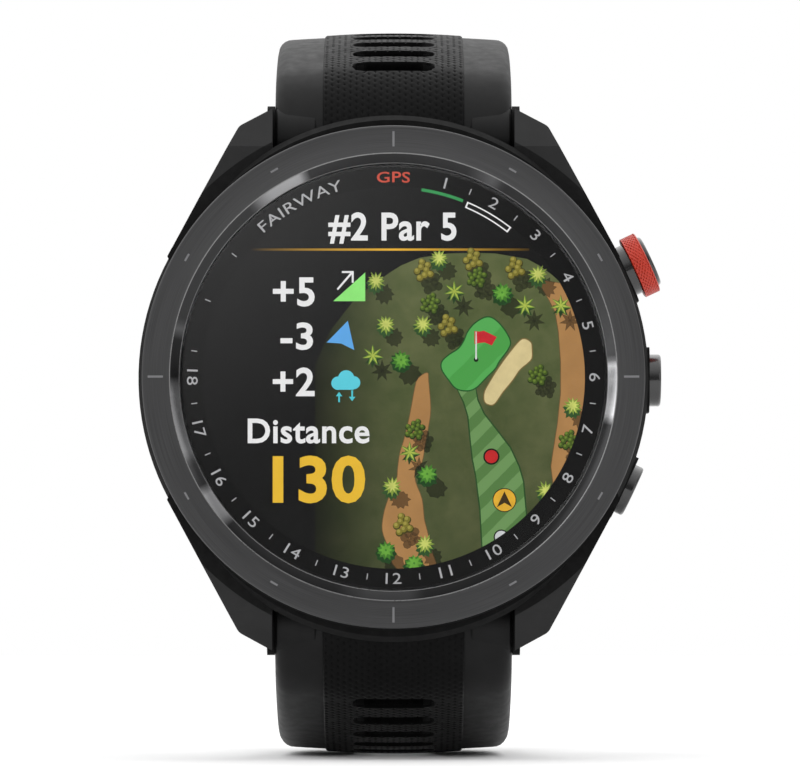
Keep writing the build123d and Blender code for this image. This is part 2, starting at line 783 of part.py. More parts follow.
for name, height, gap in (("fixed_keeper", 6.5, 0.01), ("sliding_keeper", 16.0, 0.25)):
    back, front = END_Y - STRAP_T - gap, END_Y + STRIP_H + 3.7
    middle, depth = (back + front) / 2, front - back
    inner = 2 * (9.9 + gap)
    with BuildPart() as keeper:
        with BuildSketch(Plane.XY.offset(END_Z + height)):
            with Locations((0, middle)):
                RectangleRounded(inner + 2 * KEEPER_WALL, depth + 2 * KEEPER_WALL, 1.6)
                Rectangle(inner, depth, mode=Mode.SUBTRACT)
        extrude(amount=KEEPER_W / 2, both=True)
    keeper.part.label = name
    export_step(keeper.part, f"parts/{name}.step")

with BuildPart() as buckle_bar:
    with BuildSketch(Plane.YZ):
        with Locations((BAR_Y, BAR_Z)):
            Circle(BAR_R)
    extrude(amount=11.7, both=True)
    chamfer(buckle_bar.edges().filter_by(GeomType.CIRCLE), 0.15)
buckle_bar.part.label = "buckle_bar"
export_step(buckle_bar.part, "parts/buckle_bar.step")

with BuildPart() as buckle_frame:
    with BuildSketch(Plane.XZ.offset(-BAR_Y)):
        with Locations((0, BAR_Z - BUCKLE_L / 2)):
            RectangleRounded(2 * BUCKLE_HALF, BUCKLE_L + 2.8, 1.4)
        with Locations((0, BAR_Z - BUCKLE_L / 2 + 2.0)):
            Rectangle(2 * 10.1, BUCKLE_L + 2.8, mode=Mode.SUBTRACT)
    extrude(amount=BUCKLE_T / 2, both=True)
    with BuildSketch(Plane.YZ):
        with Locations((BAR_Y, BAR_Z)):
            Circle(BAR_R + FIT)
    extrude(amount=11.8, both=True, mode=Mode.SUBTRACT)
    long_edges = buckle_frame.edges().filter_by(Axis.Z)
    chamfer(long_edges.group_by(Axis.X)[0] + long_edges.group_by(Axis.X)[-1], 0.4)
buckle_frame.part.label = "buckle_frame"
export_step(buckle_frame.part, "parts/buckle_frame.step")

with BuildPart() as buckle_tongue:
    rest = BAR_Y + BUCKLE_T / 2 + 0.1  # underside where it lies on the frame's rail
    with BuildSketch(Plane.YZ):
        with Locations((BAR_Y, BAR_Z)):
            Circle(1.4)
        with BuildLine():
            Polyline(
                (BAR_Y - 0.3, BAR_Z - 0.9),
                (rest, BAR_Z - 8.6),
                (rest, BAR_Z - 12.3),
                (rest + 1.0, BAR_Z - 12.3),
                (rest + 1.1, BAR_Z - 8.4),
                (BAR_Y + 1.2, BAR_Z),
                (BAR_Y, BAR_Z),
                close=True,
            )
        make_face()
        with Locations((BAR_Y, BAR_Z)):
            Circle(BAR_R + FIT, mode=Mode.SUBTRACT)
    extrude(amount=TONGUE_W / 2, both=True)
buckle_tongue.part.label = "buckle_tongue"
export_step(buckle_tongue.part, "parts/buckle_tongue.step")
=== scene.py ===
import json
import math
import random
from math import cos, pi, radians, sin, sqrt

import bmesh
import bpy
import numpy as np
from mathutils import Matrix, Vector


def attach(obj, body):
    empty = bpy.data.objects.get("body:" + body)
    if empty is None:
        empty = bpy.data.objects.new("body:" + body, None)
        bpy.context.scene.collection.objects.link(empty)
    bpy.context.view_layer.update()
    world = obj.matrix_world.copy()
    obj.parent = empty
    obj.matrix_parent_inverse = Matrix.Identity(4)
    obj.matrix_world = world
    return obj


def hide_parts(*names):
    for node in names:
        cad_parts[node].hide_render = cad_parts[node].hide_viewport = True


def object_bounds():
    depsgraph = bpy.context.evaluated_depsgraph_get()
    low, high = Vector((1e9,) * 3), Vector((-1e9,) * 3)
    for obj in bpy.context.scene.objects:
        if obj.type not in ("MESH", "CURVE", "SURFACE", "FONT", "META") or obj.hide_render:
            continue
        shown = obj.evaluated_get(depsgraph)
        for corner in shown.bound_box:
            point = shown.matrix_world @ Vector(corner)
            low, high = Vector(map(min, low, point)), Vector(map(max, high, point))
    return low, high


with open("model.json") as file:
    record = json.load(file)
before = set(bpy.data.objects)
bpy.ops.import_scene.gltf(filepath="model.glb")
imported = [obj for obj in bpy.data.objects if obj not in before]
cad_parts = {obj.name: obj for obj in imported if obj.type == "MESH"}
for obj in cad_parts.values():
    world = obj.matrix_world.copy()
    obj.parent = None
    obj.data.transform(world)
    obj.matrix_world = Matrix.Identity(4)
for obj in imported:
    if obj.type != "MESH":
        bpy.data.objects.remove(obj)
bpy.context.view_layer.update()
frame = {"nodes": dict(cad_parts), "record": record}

nodes = frame["nodes"]
scene = bpy.context.scene
scene.view_settings.view_transform = "Standard"
MM = 0.001

# ---- Sizes, mm ----

DEPTH = 13.8  # front of the bezel to the back of the sensor window
BEZEL_R, BEZEL_FLAT_R = 23.1, 20.5
PIN_Y, PIN_Z = -5.0, 22.7
BARREL_R = 2.85
STRAP_T = 3.0
STRIP_HALF, STRIP_H = 6.45, 0.3
SLOT_L, SLOT_W = 7.7, 2.2
NOTCH_HALF, NOTCH_L = 1.5, 2.1
TIP_R = 10.0
BAR_DROP, BAR_BORE = 1.9, 0.82
KEEPER_W, KEEPER_WALL = 4.2, 1.1
BUTTON_Y = -7.0
# Each strap half: mirror sign in Z, first heading in degrees from +Y, arcs as (radius, turn) with
# radius 0 for a straight length, and slots as (first centre, plain length at the end, pitch)
HALVES = {
    "upper": dict(
        sign=1,
        heading=83,
        runs=[(8, -60), (59.4, -17), (20, -96), (0, 20)],
        slots=(7.9, 23.0, 3.9),
    ),
    "lower": dict(
        sign=-1,
        heading=84,
        runs=[(8, -60), (62, -24), (0, 8), (30, -80), (0, 34)],
        slots=(9.3, 14.0, 4.6),
    ),
}
# Half-width of each half against Y
TAPER = {
    "upper": [(-15, 11.0), (14, 11.0), (34, 9.9), (60, 9.9)],
    "lower": [(-15, 11.0), (14, 11.0), (60, 10.0), (90, 10.0)],
}


# ---- Mesh helpers ----


def mesh_object(name, verts, faces, material=None, body="case", smooth=True, replaces=(), slot=None):
    """Mesh piece from points in mm, riding on a body."""
    mesh = bpy.data.meshes.new(name)
    mesh.from_pydata([tuple(MM * c for c in v) for v in verts], [], faces)
    mesh.update()
    obj = bpy.data.objects.new(name, mesh)
    scene.collection.objects.link(obj)
    if smooth:
        mesh.polygons.foreach_set("use_smooth", [True] * len(mesh.polygons))
    if material:
        mesh.materials.append(material)
    if body:
        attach(obj, body)
    if replaces:
        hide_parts(*replaces)
    return obj


def set_sharp(obj, angle):
    """Smooth shading with edges over an angle kept sharp."""
    obj.data.set_sharp_from_angle(angle=radians(angle))


def lathe(name, profile, material, steps=360, **kw):
    """Solid turned about the Y axis from a closed loop of (radius, depth) points."""
    verts, faces = [], []
    n = len(profile)
    for i in range(steps):
        a = 2 * pi * i / steps
        verts += [(r * cos(a), d - DEPTH, r * sin(a)) for r, d in profile]
    for i in range(steps):
        j = (i + 1) % steps
        for k in range(n):
            m = (k + 1) % n
            faces.append((i * n + k, i * n + m, j * n + m, j * n + k))
    obj = mesh_object(name, verts, faces, material, **kw)
    fix_normals(obj)
    return obj


def fix_normals(obj):
    """Faces turned to look outward."""
    bm = bmesh.new()
    bm.from_mesh(obj.data)
    bmesh.ops.recalc_face_normals(bm, faces=bm.faces)
    bm.to_mesh(obj.data)
    bm.free()


# ---- Materials ----


class Nodes:
    """Small helper that builds one procedural material."""

    def __init__(self, name, base, rough, metal=0.0, **sockets):
        self.mat = bpy.data.materials.new(name)
        self.mat.use_nodes = True
        self.tree = self.mat.node_tree
        self.bsdf = self.tree.nodes["Principled BSDF"]
        self.bsdf.inputs["Base Color"].default_value = (*base, 1)
        self.bsdf.inputs["Roughness"].default_value = rough
        self.bsdf.inputs["Metallic"].default_value = metal
        for key, value in sockets.items():
            self.bsdf.inputs[key.replace("_", " ")].default_value = value
        self.coord = self.tree.nodes.new("ShaderNodeTexCoord")
        self.normal = None

    def add(self, kind, **props):
        """New node with its properties set."""
        node = self.tree.nodes.new(kind)
        for key, value in props.items():
            setattr(node, key, value)
        return node

    def link(self, a, b):
        """Wire from an output to an input."""
        self.tree.links.new(a, b)

    def scaled(self, scale):
        """Object coordinates stretched by (x, y, z)."""
        mapping = self.add("ShaderNodeMapping")
        mapping.inputs["Scale"].default_value = scale
        self.link(self.coord.outputs["Object"], mapping.inputs["Vector"])
        return mapping.outputs["Vector"]

    def noise(self, scale, detail=4.0, stretch=None, rough=0.55):
        """Fractal noise on object coordinates."""
        node = self.add("ShaderNodeTexNoise")
        node.inputs["Scale"].default_value = scale
        node.inputs["Detail"].default_value = detail
        node.inputs["Roughness"].default_value = rough
        vector = self.scaled(stretch) if stretch else self.coord.outputs["Object"]
        self.link(vector, node.inputs["Vector"])
        return node.outputs["Fac"]

    def voronoi(self, scale):
        """Distance to the nearest cell, for a moulded grain."""
        node = self.add("ShaderNodeTexVoronoi")
        node.inputs["Scale"].default_value = scale
        self.link(self.coord.outputs["Object"], node.inputs["Vector"])
        return node.outputs["Distance"]

    def ramp(self, fac, stops):
        """Colour ramp from (position, colour) stops."""
        node = self.add("ShaderNodeValToRGB")
        ramp = node.color_ramp
        while len(ramp.elements) < len(stops):
            ramp.elements.new(0.5)
        for element, (place, colour) in zip(ramp.elements, stops):
            element.position = place
            element.color = (*colour, 1)
        self.link(fac, node.inputs["Fac"])
        return node.outputs["Color"]

    def mapped(self, value, low, high, to_low, to_high, soft=False):
        """Value mapped from one range to another."""
        node = self.add("ShaderNodeMapRange", interpolation_type="SMOOTHSTEP" if soft else "LINEAR")
        for key, number in (("From Min", low), ("From Max", high), ("To Min", to_low), ("To Max", to_high)):
            node.inputs[key].default_value = number
        self.link(value, node.inputs["Value"])
        return node.outputs["Result"]

    def spread(self, fac, low, high):
        """The middle of a noise's range mapped to two values."""
        return self.mapped(fac, 0.3, 0.7, low, high)

    def math(self, kind, *inputs):
        """Math node on outputs or numbers."""
        node = self.add("ShaderNodeMath", operation=kind)
        for socket, value in zip(node.inputs, inputs):
            if isinstance(value, (int, float)):
                socket.default_value = value
            else:
                self.link(value, socket)
        return node.outputs["Value"]

    def below(self, value, limit, soft=0.08):
        """1 under a limit in mm, 0 over it, with a short soft step."""
        return self.mapped(value, (limit - soft) * MM, limit * MM, 1.0, 0.0, soft=True)

    def axes(self):
        """X, Y and Z of the object coordinates."""
        split = self.add("ShaderNodeSeparateXYZ")
        self.link(self.coord.outputs["Object"], split.inputs["Vector"])
        return split.outputs

    def glow(self, colour):
        """Colour of the light that the surface gives."""
        self.link(colour, self.bsdf.inputs["Emission Color"])

    def mixed(self, fac, a, b):
        """Colour between two colours."""
        node = self.add("ShaderNodeMix", data_type="RGBA")
        self.link(fac, node.inputs[0])
        self.link(a, node.inputs[6])
        self.link(b, node.inputs[7])
        return node.outputs[2]

    def bump(self, height, strength, distance):
        """Relief, its distance in mm, on top of any earlier one."""
        node = self.add("ShaderNodeBump")
        node.inputs["Strength"].default_value = strength
        node.inputs["Distance"].default_value = distance * MM
        self.link(height, node.inputs["Height"])
        if self.normal:
            self.link(self.normal, node.inputs["Normal"])
        self.normal = node.outputs["Normal"]
        self.link(self.normal, self.bsdf.inputs["Normal"])

    def base(self, colour):
        self.link(colour, self.bsdf.inputs["Base Color"])

    def rough(self, value):
        self.link(value, self.bsdf.inputs["Roughness"])


def grey(v):
    """Near-neutral grey of one linear level."""
    return (v, v, v * 1.02)


def silicone(name, level, gloss, rough):
    """Soft matte rubber with a fine skin."""
    m = Nodes(name, grey(level), rough, Specular_IOR_Level=gloss, Sheen_Weight=0.03, Sheen_Roughness=0.4)
    m.base(m.ramp(m.noise(300), [(0.3, grey(level * 0.8)), (0.7, grey(level * 1.2))]))
    m.rough(m.spread(m.noise(900), rough - 0.06, rough + 0.06))
    m.bump(m.noise(9000, 3), 0.12, 0.03)
    m.bump(m.noise(1500, 4), 0.06, 0.05)
    return m.mat


def polymer(name, level, rough, gloss=0.4):
    """Moulded plastic with a fine cast grain."""
    m = Nodes(name, grey(level), rough, Specular_IOR_Level=gloss)
    m.base(m.ramp(m.noise(400), [(0.3, grey(level * 0.85)), (0.7, grey(level * 1.15))]))
    m.rough(m.spread(m.noise(1200), rough - 0.05, rough + 0.06))
    m.bump(m.voronoi(6500), 0.10, 0.02)
    m.bump(m.noise(12000, 3), 0.10, 0.015)
    return m.mat


def rim_coordinates(m):
    """Angle about the Y axis in radians and radius in metres, both from object coordinates."""
    x, _, z = m.axes()
    flat = m.add("ShaderNodeCombineXYZ")
    m.link(x, flat.inputs["X"])
    m.link(z, flat.inputs["Y"])
    length = m.add("ShaderNodeVectorMath", operation="LENGTH")
    m.link(flat.outputs["Vector"], length.inputs[0])
    return m.math("ARCTAN2", z, x), length.outputs["Value"]


def case_shell():
    """Case polymer with painted shade: near black and rougher round the bezel and between the lugs, where
    shadow falls.
    """
    level, rough, shade_level, matt_rough = 0.012, 0.42, 0.0012, 0.85
    ring_r, ring_depth = 24.65, 6.5
    well_x, well_z = 11.27, 19.0
    m = Nodes("case_polymer", grey(level), rough, Specular_IOR_Level=0.28)
    x, y, z = m.axes()
    radius = rim_coordinates(m)[1]
    # Painted shade: the ring under the bezel and the well between the lugs, where shadow falls, are turned
    # near black
    ring = m.math("MULTIPLY", m.below(radius, ring_r), m.below(y, ring_depth - DEPTH))
    above = m.math("GREATER_THAN", m.math("ABSOLUTE", z), well_z * MM)
    well_shade = m.math("MULTIPLY", m.below(m.math("ABSOLUTE", x), well_x), above)
    painted_shade_mask = m.math("MAXIMUM", ring, well_shade)
    grain = m.noise(400)
    shiny = m.ramp(grain, [(0.3, grey(level * 0.85)), (0.7, grey(level * 1.15))])
    painted_shade_tone = m.ramp(grain, [(0.3, grey(shade_level * 0.85)), (0.7, grey(shade_level * 1.15))])
    m.base(m.mixed(painted_shade_mask, shiny, painted_shade_tone))
    gloss = m.spread(m.noise(1200), rough - 0.05, rough + 0.06)
    m.rough(m.math("MULTIPLY_ADD", painted_shade_mask, matt_rough - rough, gloss))
    m.bump(m.voronoi(6500), 0.10, 0.02)
    m.bump(m.noise(12000, 3), 0.10, 0.015)
    return m.mat


def brushed(name, level, rough, stretch=(1, 1, 1), tint=(1, 1, 1)):
    """Bare or plated metal with drawn grain."""
    base = tuple(level * t for t in tint)
    m = Nodes(name, base, rough, 1.0)
    grain = m.noise(2500, 6, stretch)
    m.base(m.ramp(grain, [(0.25, tuple(c * 0.85 for c in base)), (0.75, tuple(c * 1.15 for c in base))]))
    m.rough(m.spread(grain, rough - 0.06, rough + 0.08))
    m.bump(grain, 0.06, 0.01)
    return m.mat


def bezel_flat():
    """Coated metal with fine circular brushing."""
    across, along = 60000, 9  # noise cells per metre of radius and per radian
    m = Nodes("bezel_brushed", grey(0.045), 0.34, 0.6, Specular_IOR_Level=0.5)
    angle, radius = rim_coordinates(m)
    rings = m.add("ShaderNodeCombineXYZ")
    m.link(m.math("MULTIPLY", radius, across), rings.inputs["X"])
    m.link(m.math("MULTIPLY", angle, along), rings.inputs["Y"])
    grain = m.add("ShaderNodeTexNoise")
    grain.inputs["Scale"].default_value = 0.25
    grain.inputs["Detail"].default_value = 5
    m.link(rings.outputs["Vector"], grain.inputs["Vector"])
    m.base(m.ramp(grain.outputs["Fac"], [(0.3, grey(0.044)), (0.7, grey(0.062))]))
    m.rough(m.spread(grain.outputs["Fac"], 0.31, 0.43))
    m.bump(grain.outputs["Fac"], 0.05, 0.01)
    return m.mat


def polished(name, base, rough=0.12, metal=0.0, **kw):
    """Smooth surface with slight unevenness of gloss."""
    m = Nodes(name, base, rough, metal, **kw)
    m.rough(m.spread(m.noise(500), rough * 0.8, rough * 1.25))
    m.bump(m.noise(2500, 3), 0.015, 0.01)
    return m.mat


def unlit(name):
    """Black display surface, to be given a light of its own."""
    return Nodes(name, (0.004, 0.004, 0.004), 0.6, Specular_IOR_Level=0.0, Emission_Strength=1.0)


MATERIALS = {
    "silicone": silicone("silicone", 0.007, 0.18, 0.5),
    "case_polymer": case_shell(),
    "inner_polymer": polymer("inner_polymer", 0.06, 0.5),
    "gasket_rubber": polymer("gasket_rubber", 0.015, 0.6),
    "steel": brushed("steel", 0.42, 0.3),
    "plated_metal": brushed("plated_metal", 0.6, 0.3, tint=(1, 0.99, 0.95)),
    "tungsten": brushed("tungsten", 0.28, 0.4),
    "gold": brushed("gold", 0.8, 0.22, tint=(1, 0.76, 0.36)),
    "buckle_metal": brushed("buckle_metal", 0.12, 0.32, stretch=(1, 12, 12)),
    "battery_wrap": polished("battery_wrap", (0.3, 0.31, 0.33), 0.35),
    "circuit_board": polished("circuit_board", (0.015, 0.08, 0.04), 0.35),
    "flex_film": polished("flex_film", (0.42, 0.19, 0.04), 0.3),
    "component": polished("component", (0.05, 0.05, 0.05), 0.3),
    "button_polish": polished("button_polish", grey(0.012), 0.16, Coat_Weight=0.6, Coat_Roughness=0.08),
    "bezel_ceramic": bezel_flat(),
    "display": polished("display_black", grey(0.0015), 0.5, Specular_IOR_Level=0.1),
    "scale_print": Nodes("scale_print", grey(0.0015), 0.6, Specular_IOR_Level=0.05).mat,
    "sensor_glass": polished("sensor_glass", grey(0.01), 0.05, Coat_Weight=0.5),
    "red_ring": polished("red_ring", (0.5, 0.028, 0.009), 0.34, 0.3, Coat_Weight=0.12, Coat_Roughness=0.2),
    "lens_glass": Nodes("lens_glass", (1, 1, 1), 0.0, Transmission_Weight=1.0, IOR=1.45).mat,
}


for part in frame["record"]["subparts"]:
    node = nodes[part["node"]]
    node.data.materials.clear()
    node.data.materials.append(MATERIALS[part["material_slot"]])

collar_black = polymer("collar_black", 0.0015, 0.7, 0.1)
for name in ("upper_pin_collars", "lower_pin_collars"):
    nodes[name].data.materials[0] = collar_black

# ---- Bezel ----


# Painted reflections on the chamfer: its colour level against the angle from +X in degrees, bright sectors
# standing in for mirrored lights
REFLECTION_SECTORS = [
    (-180, 0.02), (-176, 0.2), (-160, 0.2), (-157, 0.05), (-150, 0.03), (-148, 0.22), (-141, 0.18),
    (-138, 0.02), (-105, 0.015), (-97, 0.035), (-86, 0.035), (-82, 0.015), (-50, 0.012), (-35, 0.025),
    (-12, 0.06), (-10, 0.8), (3, 0.8), (4.5, 0.08), (25, 0.04), (60, 0.03), (63, 0.09), (70, 0.035),
    (95, 0.03), (113, 0.04), (115.5, 0.32), (124, 0.28), (130, 0.04), (165, 0.035), (167.5, 0.08),
    (170, 0.02), (180, 0.02),
]


def bezel_polished():
    """Polished conical edge with painted reflections: long bright and dark sectors round it."""
    m = Nodes("bezel_polished", grey(0.05), 0.2, 1.0)
    turn = m.mapped(rim_coordinates(m)[0], -pi, pi, 0.0, 1.0)
    m.base(m.ramp(turn, [((degrees + 180) / 360, grey(level)) for degrees, level in REFLECTION_SECTORS]))
    m.rough(m.spread(m.noise(700), 0.16, 0.26))
    m.bump(m.noise(2500, 3), 0.015, 0.01)
    return m.mat


BEZEL_SECTION = [
    (BEZEL_FLAT_R, 0.03),
    (BEZEL_FLAT_R + 0.1, 0.0),
    (BEZEL_R - 0.15, 0.0),
    (BEZEL_R - 0.05, 0.05),
    (BEZEL_R, 0.15),
    (BEZEL_R, 2.0),
    (BEZEL_R - 0.35, 2.3),
    (BEZEL_R - 0.35, 2.9),
    (18.7, 2.9),
    (18.7, 2.25),
    (19.62, 2.25),
    (19.62, 0.62),
    (19.7, 0.52),
]
LENS_EDGE, CHAMFER = len(BEZEL_SECTION) - 2, len(BEZEL_SECTION) - 1
bezel = lathe(
    "bezel_ring",
    BEZEL_SECTION,
    MATERIALS["bezel_ceramic"],
    steps=512,
    replaces=("bezel",),
    slot="bezel_ceramic",
)
bezel.data.materials.append(bezel_polished())
# Brighter metal on the two narrow edge facets: a bare metal edge, made light enough to serve as a painted
# highlight line
bezel.data.materials.append(brushed("bezel_edge", 0.2, 0.3))
for poly in bezel.data.polygons:
    ring_step = poly.index % len(BEZEL_SECTION)
    if ring_step == CHAMFER:
        poly.material_index = 1
    elif ring_step in (0, LENS_EDGE):
        poly.material_index = 2
set_sharp(bezel, 20)

mark_grey = polished("mark_grey", (0.15, 0.15, 0.155), 0.4)


def flat_patch(outline, depth):
    """Points of a flat outline at a depth, from (x, z) pairs."""
    return [(x, depth - DEPTH, z) for x, z in outline]


def arc(radius, start, end, steps):
    """Points (x, z) along an arc between two angles in degrees from +X."""
    angles = [radians(start + (end - start) * i / steps) for i in range(steps + 1)]
    return [(radius * cos(a), radius * sin(a)) for a in angles]


def rim_mark(r0, r1, angle, half_width, depth, steps=1):
    """Flat mark between two radii, centred on an angle in degrees from +X."""
    half = math.degrees(half_width / ((r0 + r1) / 2))
    edges = arc(r0, angle - half, angle + half, steps) + arc(r1, angle + half, angle - half, steps)
    return flat_patch(edges, depth)


def patches(name, outlines, material, thick=0.01, **kw):
    """Thin raised plates, one for each outline, as one piece."""
    verts, faces = [], []
    for outline in outlines:
        n, start = len(outline), len(verts)
        verts += outline
        verts += [(x, y + thick, z) for x, y, z in outline]
        faces.append(tuple(range(start, start + n)))
        faces.append(tuple(range(start + 2 * n - 1, start + n - 1, -1)))
        for i in range(n):
            j = (i + 1) % n
            faces.append((start + i, start + n + i, start + n + j, start + j))
    obj = mesh_object(name, verts, faces, material, smooth=False, **kw)
    fix_normals(obj)
    return obj


MARK_FRONT = -0.006  # the marks stand this far, in mm, in front of the bezel
marks = []
for hour in range(12):
    angle = 90 - 30 * hour
    if hour % 3 == 0:
        marks.append(rim_mark(21.15, 22.55, angle, 0.1, MARK_FRONT))
    else:
        marks.append(rim_mark(21.8, 21.98, angle, 0.375, MARK_FRONT, 4))
patches("bezel_marks", marks, mark_grey, 0.012)

# ---- Sensor window in the back ----

dome = lathe(
    "sensor_dome",
    [
        (0.002, DEPTH),
        (5.6, DEPTH - 0.01),
        (6.5, DEPTH - 0.05),
        (7.1, DEPTH - 0.16),
        (7.55, DEPTH - 0.33),
        (7.85, DEPTH - 0.58),
        (8.0, DEPTH - 0.9),
        (8.0, 12.35),
        (0.002, 12.35),
    ],
    polished("sensor_dome_glass", grey(0.006), 0.16, Coat_Weight=0.3, Coat_Roughness=0.1),
    steps=128,
    replaces=("sensor_window",),
    slot="sensor_glass",
)
set_sharp(dome, 40)

# ---- Display: a hole map and its readings, mm right of and above the centre ----


def srgb(r, g, b):
    """Linear colour from 0-255 screen values."""
    return tuple(c / 255 / 12.92 if c < 10.3 else ((c / 255 + 0.055) / 1.055) ** 2.4 for c in (r, g, b))


SCREEN_R = 17.75
LAYERS = [1.990 - 0.008 * i for i in range(8)]  # depths of the stacked display layers, back to front
SHEET_T = 0.004
PRINT_DEPTH = 1.915  # lettering on the number ring


def sheet(name, outlines, layer, material):
    """Flat display shapes on one layer."""
    outlines = [flat_patch(outline, LAYERS[layer]) for outline in outlines]
    return patches(name, outlines, material, SHEET_T, slot="display")


def smooth(points, steps=5):
    """Closed smooth outline through the points."""
    out = []
    n = len(points)
    for i in range(n):
        p0, p1, p2, p3 = (Vector(points[(i + k) % n]) for k in (-1, 0, 1, 2))
        for j in range(steps):
            t = j / steps
            bend = (2 * p0 - 5 * p1 + 4 * p2 - p3) * t * t + (3 * p1 - p0 - 3 * p2 + p3) * t * t * t
            out.append(tuple((2 * p1 + (p2 - p0) * t + bend) / 2))
    return out


def rim_arc(start, end, steps):
    """Points along the display's edge between two angles in degrees from +X."""
    return arc(SCREEN_R, start, end, steps)


def band(outer, inner, start, end, steps=16):
    """Outline between two radii and two angles."""
    return arc(outer, start, end, steps) + arc(inner, end, start, steps)


def grow(outline, by):
    """Outline moved outward."""
    n = len(outline)
    pairs = zip(outline, outline[1:] + outline[:1])
    out_by = math.copysign(by, sum(a[0] * b[1] - b[0] * a[1] for a, b in pairs))
    out = []
    for i, (x, z) in enumerate(outline):
        way = (Vector(outline[(i + 1) % n]) - Vector(outline[i - 1])).normalized()
        out.append((x + out_by * way.y, z - out_by * way.x))
    return out


def lit(name, colour, low=0.85, high=1.12, scale=900):
    """Lit shape with slight mottling of one screen colour."""
    linear = srgb(*colour)
    m = unlit(name)
    tones = [(0.3, tuple(c * low for c in linear)), (0.7, tuple(c * high for c in linear))]
    m.glow(m.ramp(m.noise(scale, 6), tones))
    return m.mat


def even(name, colour):
    """Lit shape of nearly one tone."""
    return lit(name, colour, 0.96, 1.04)


def terrain():
    """Rough grass, fading to black on the left."""
    m = unlit("rough_grass")
    grass = m.ramp(m.noise(260, 8, rough=0.65), [(0.32, srgb(70, 82, 44)), (0.68, srgb(96, 102, 64))])
    x, _, z = m.axes()
    fade = m.mapped(x, -9.5 * MM, 2.0 * MM, 0.0, 1.0, soft=True)
    down = m.mapped(z, -16 * MM, 10 * MM, 0.72, 1.1)
    m.glow(grass)
    m.link(m.math("MULTIPLY", fade, down), m.bsdf.inputs["Emission Strength"])
    return m.mat


def striped(name, light, dark, pitch):
    """Mown grass in diagonal stripes."""
    m = unlit(name)
    x, _, z = m.axes()
    turns = m.math("MULTIPLY", m.math("SUBTRACT", z, x), pi / (pitch * MM))
    stripe = m.math("MULTIPLY_ADD", m.math("SINE", turns), 2.0, m.noise(900, 3))
    m.glow(m.ramp(stripe, [(0.4, srgb(*dark)), (0.6, srgb(*light))]))
    return m.mat


def shade(name, alpha):
    """See-through shadow."""
    m = Nodes(name, (0.0, 0.0, 0.0), 0.8, Specular_IOR_Level=0.0, Alpha=alpha)
    m.rough(m.spread(m.noise(400), 0.7, 0.9))
    return m.mat


ROUGH = [
    (-7.2, -16.2), (-7.2, 1.2), (-5.8, 4.3), (-3.4, 7.4), (-0.4, 9.6), (0.7, 10.3), (2.4, 11.0),
    (5.0, 11.4), (7.5, 11.45), (9.4, 11.4), (11.1, 11.1), (12.3, 10.9), (13.4, 10.3), (14.5, 9.5),
    (15.5, 8.6),
]
sheet("map_rough", [ROUGH + rim_arc(29, -114, 60)], 0, terrain())

LEFT_PATH = [
    (3.1, 0.4), (2.3, -0.1), (2.0, -0.9), (1.5, -3.6), (1.0, -5.7), (0.6, -7.0), (0.4, -8.5),
    (0.3, -9.4), (-0.5, -11.3), (-0.9, -12.7), (-1.0, -14.1), (-0.5, -15.5), (0.4, -17.7), (3.7, -17.5),
    (3.5, -16.0), (3.1, -14.2), (2.8, -13.0), (2.6, -11.2), (2.0, -9.6), (2.0, -8.4), (2.6, -7.8),
    (2.9, -6.1), (3.2, -4.5), (3.4, -2.9), (3.2, -0.3),
]
RIGHT_PATH = [
    (13.2, 9.0), (14.4, 7.0), (14.9, 6.0), (15.2, 4.2), (15.4, 1.4), (15.4, -1.4), (15.1, -4.3),
    (14.7, -6.8), (14.5, -8.2), (14.7, -9.9),
]
path_mat = lit("map_path", (170, 126, 76), 0.92, 1.08, 400)
edge_mat = lit("map_path_edge", (108, 84, 50))
right_path = RIGHT_PATH + rim_arc(-34, 29, 20)
sheet("map_path_edges", [grow(smooth(LEFT_PATH, 3), 0.07), grow(right_path, 0.07)], 1, edge_mat)
sheet("map_paths", [smooth(LEFT_PATH, 3), right_path], 2, path_mat)

GREEN = [
    (8.6, 5.5), (9.4, 5.2), (10.2, 4.3), (10.7, 3.3), (10.5, 2.6), (9.7, 1.5), (9.3, 0.8), (8.5, 0.0),
    (7.6, -0.9), (6.8, -1.2), (5.8, -1.0), (5.1, -0.2), (4.5, 0.7), (4.5, 1.4), (5.1, 2.0), (6.0, 2.6),
    (6.5, 3.3), (6.9, 4.2), (7.6, 5.0),
]
BUNKER = [
    (11.6, 3.3), (12.1, 3.5), (12.6, 3.2), (12.7, 2.8), (12.7, 1.8), (12.3, 1.3), (11.6, 0.7),
    (10.9, -0.3), (10.0, -1.4), (9.3, -2.4), (8.8, -2.5), (8.4, -2.2), (8.4, -1.4), (8.8, -0.6),
    (9.6, 0.7), (10.6, 2.1),
]
FAIRWAY_LEFT = [
    (5.8, -0.9), (6.5, -2.3), (6.9, -3.6), (7.1, -5.7), (7.3, -7.5), (7.6, -9.0), (8.0, -12.2),
    (8.2, -15.9),
]
FAIRWAY_RIGHT = [
    (12.2, -13.0), (12.1, -11.9), (11.9, -9.6), (11.5, -8.2), (10.7, -6.5), (9.4, -4.8), (8.3, -3.4),
    (7.7, -2.1), (7.5, -0.8),
]
fairway = FAIRWAY_LEFT + rim_arc(-62, -47, 6) + FAIRWAY_RIGHT
outline_mat = lit("map_outline", (38, 74, 34))
sheet("map_fairway_edge", [grow(fairway, 0.13)], 2, outline_mat)
sheet("map_fairway", [fairway], 3, striped("fairway_grass", (108, 148, 88), (84, 124, 66), 1.35))
sheet("map_green_edge", [grow(smooth(GREEN), 0.12)], 4, lit("map_green_edge_grass", (28, 84, 36)))
sheet("map_green", [smooth(GREEN)], 5, striped("green_grass", (84, 170, 84), (74, 158, 72), 2.6))
sheet("map_bunker", [smooth(BUNKER)], 4, lit("map_sand", (218, 200, 146), 0.86, 1.06, 700))
sheet("map_bunker_edge", [grow(smooth(BUNKER), 0.1)], 3, lit("map_sand_edge", (124, 104, 60)))

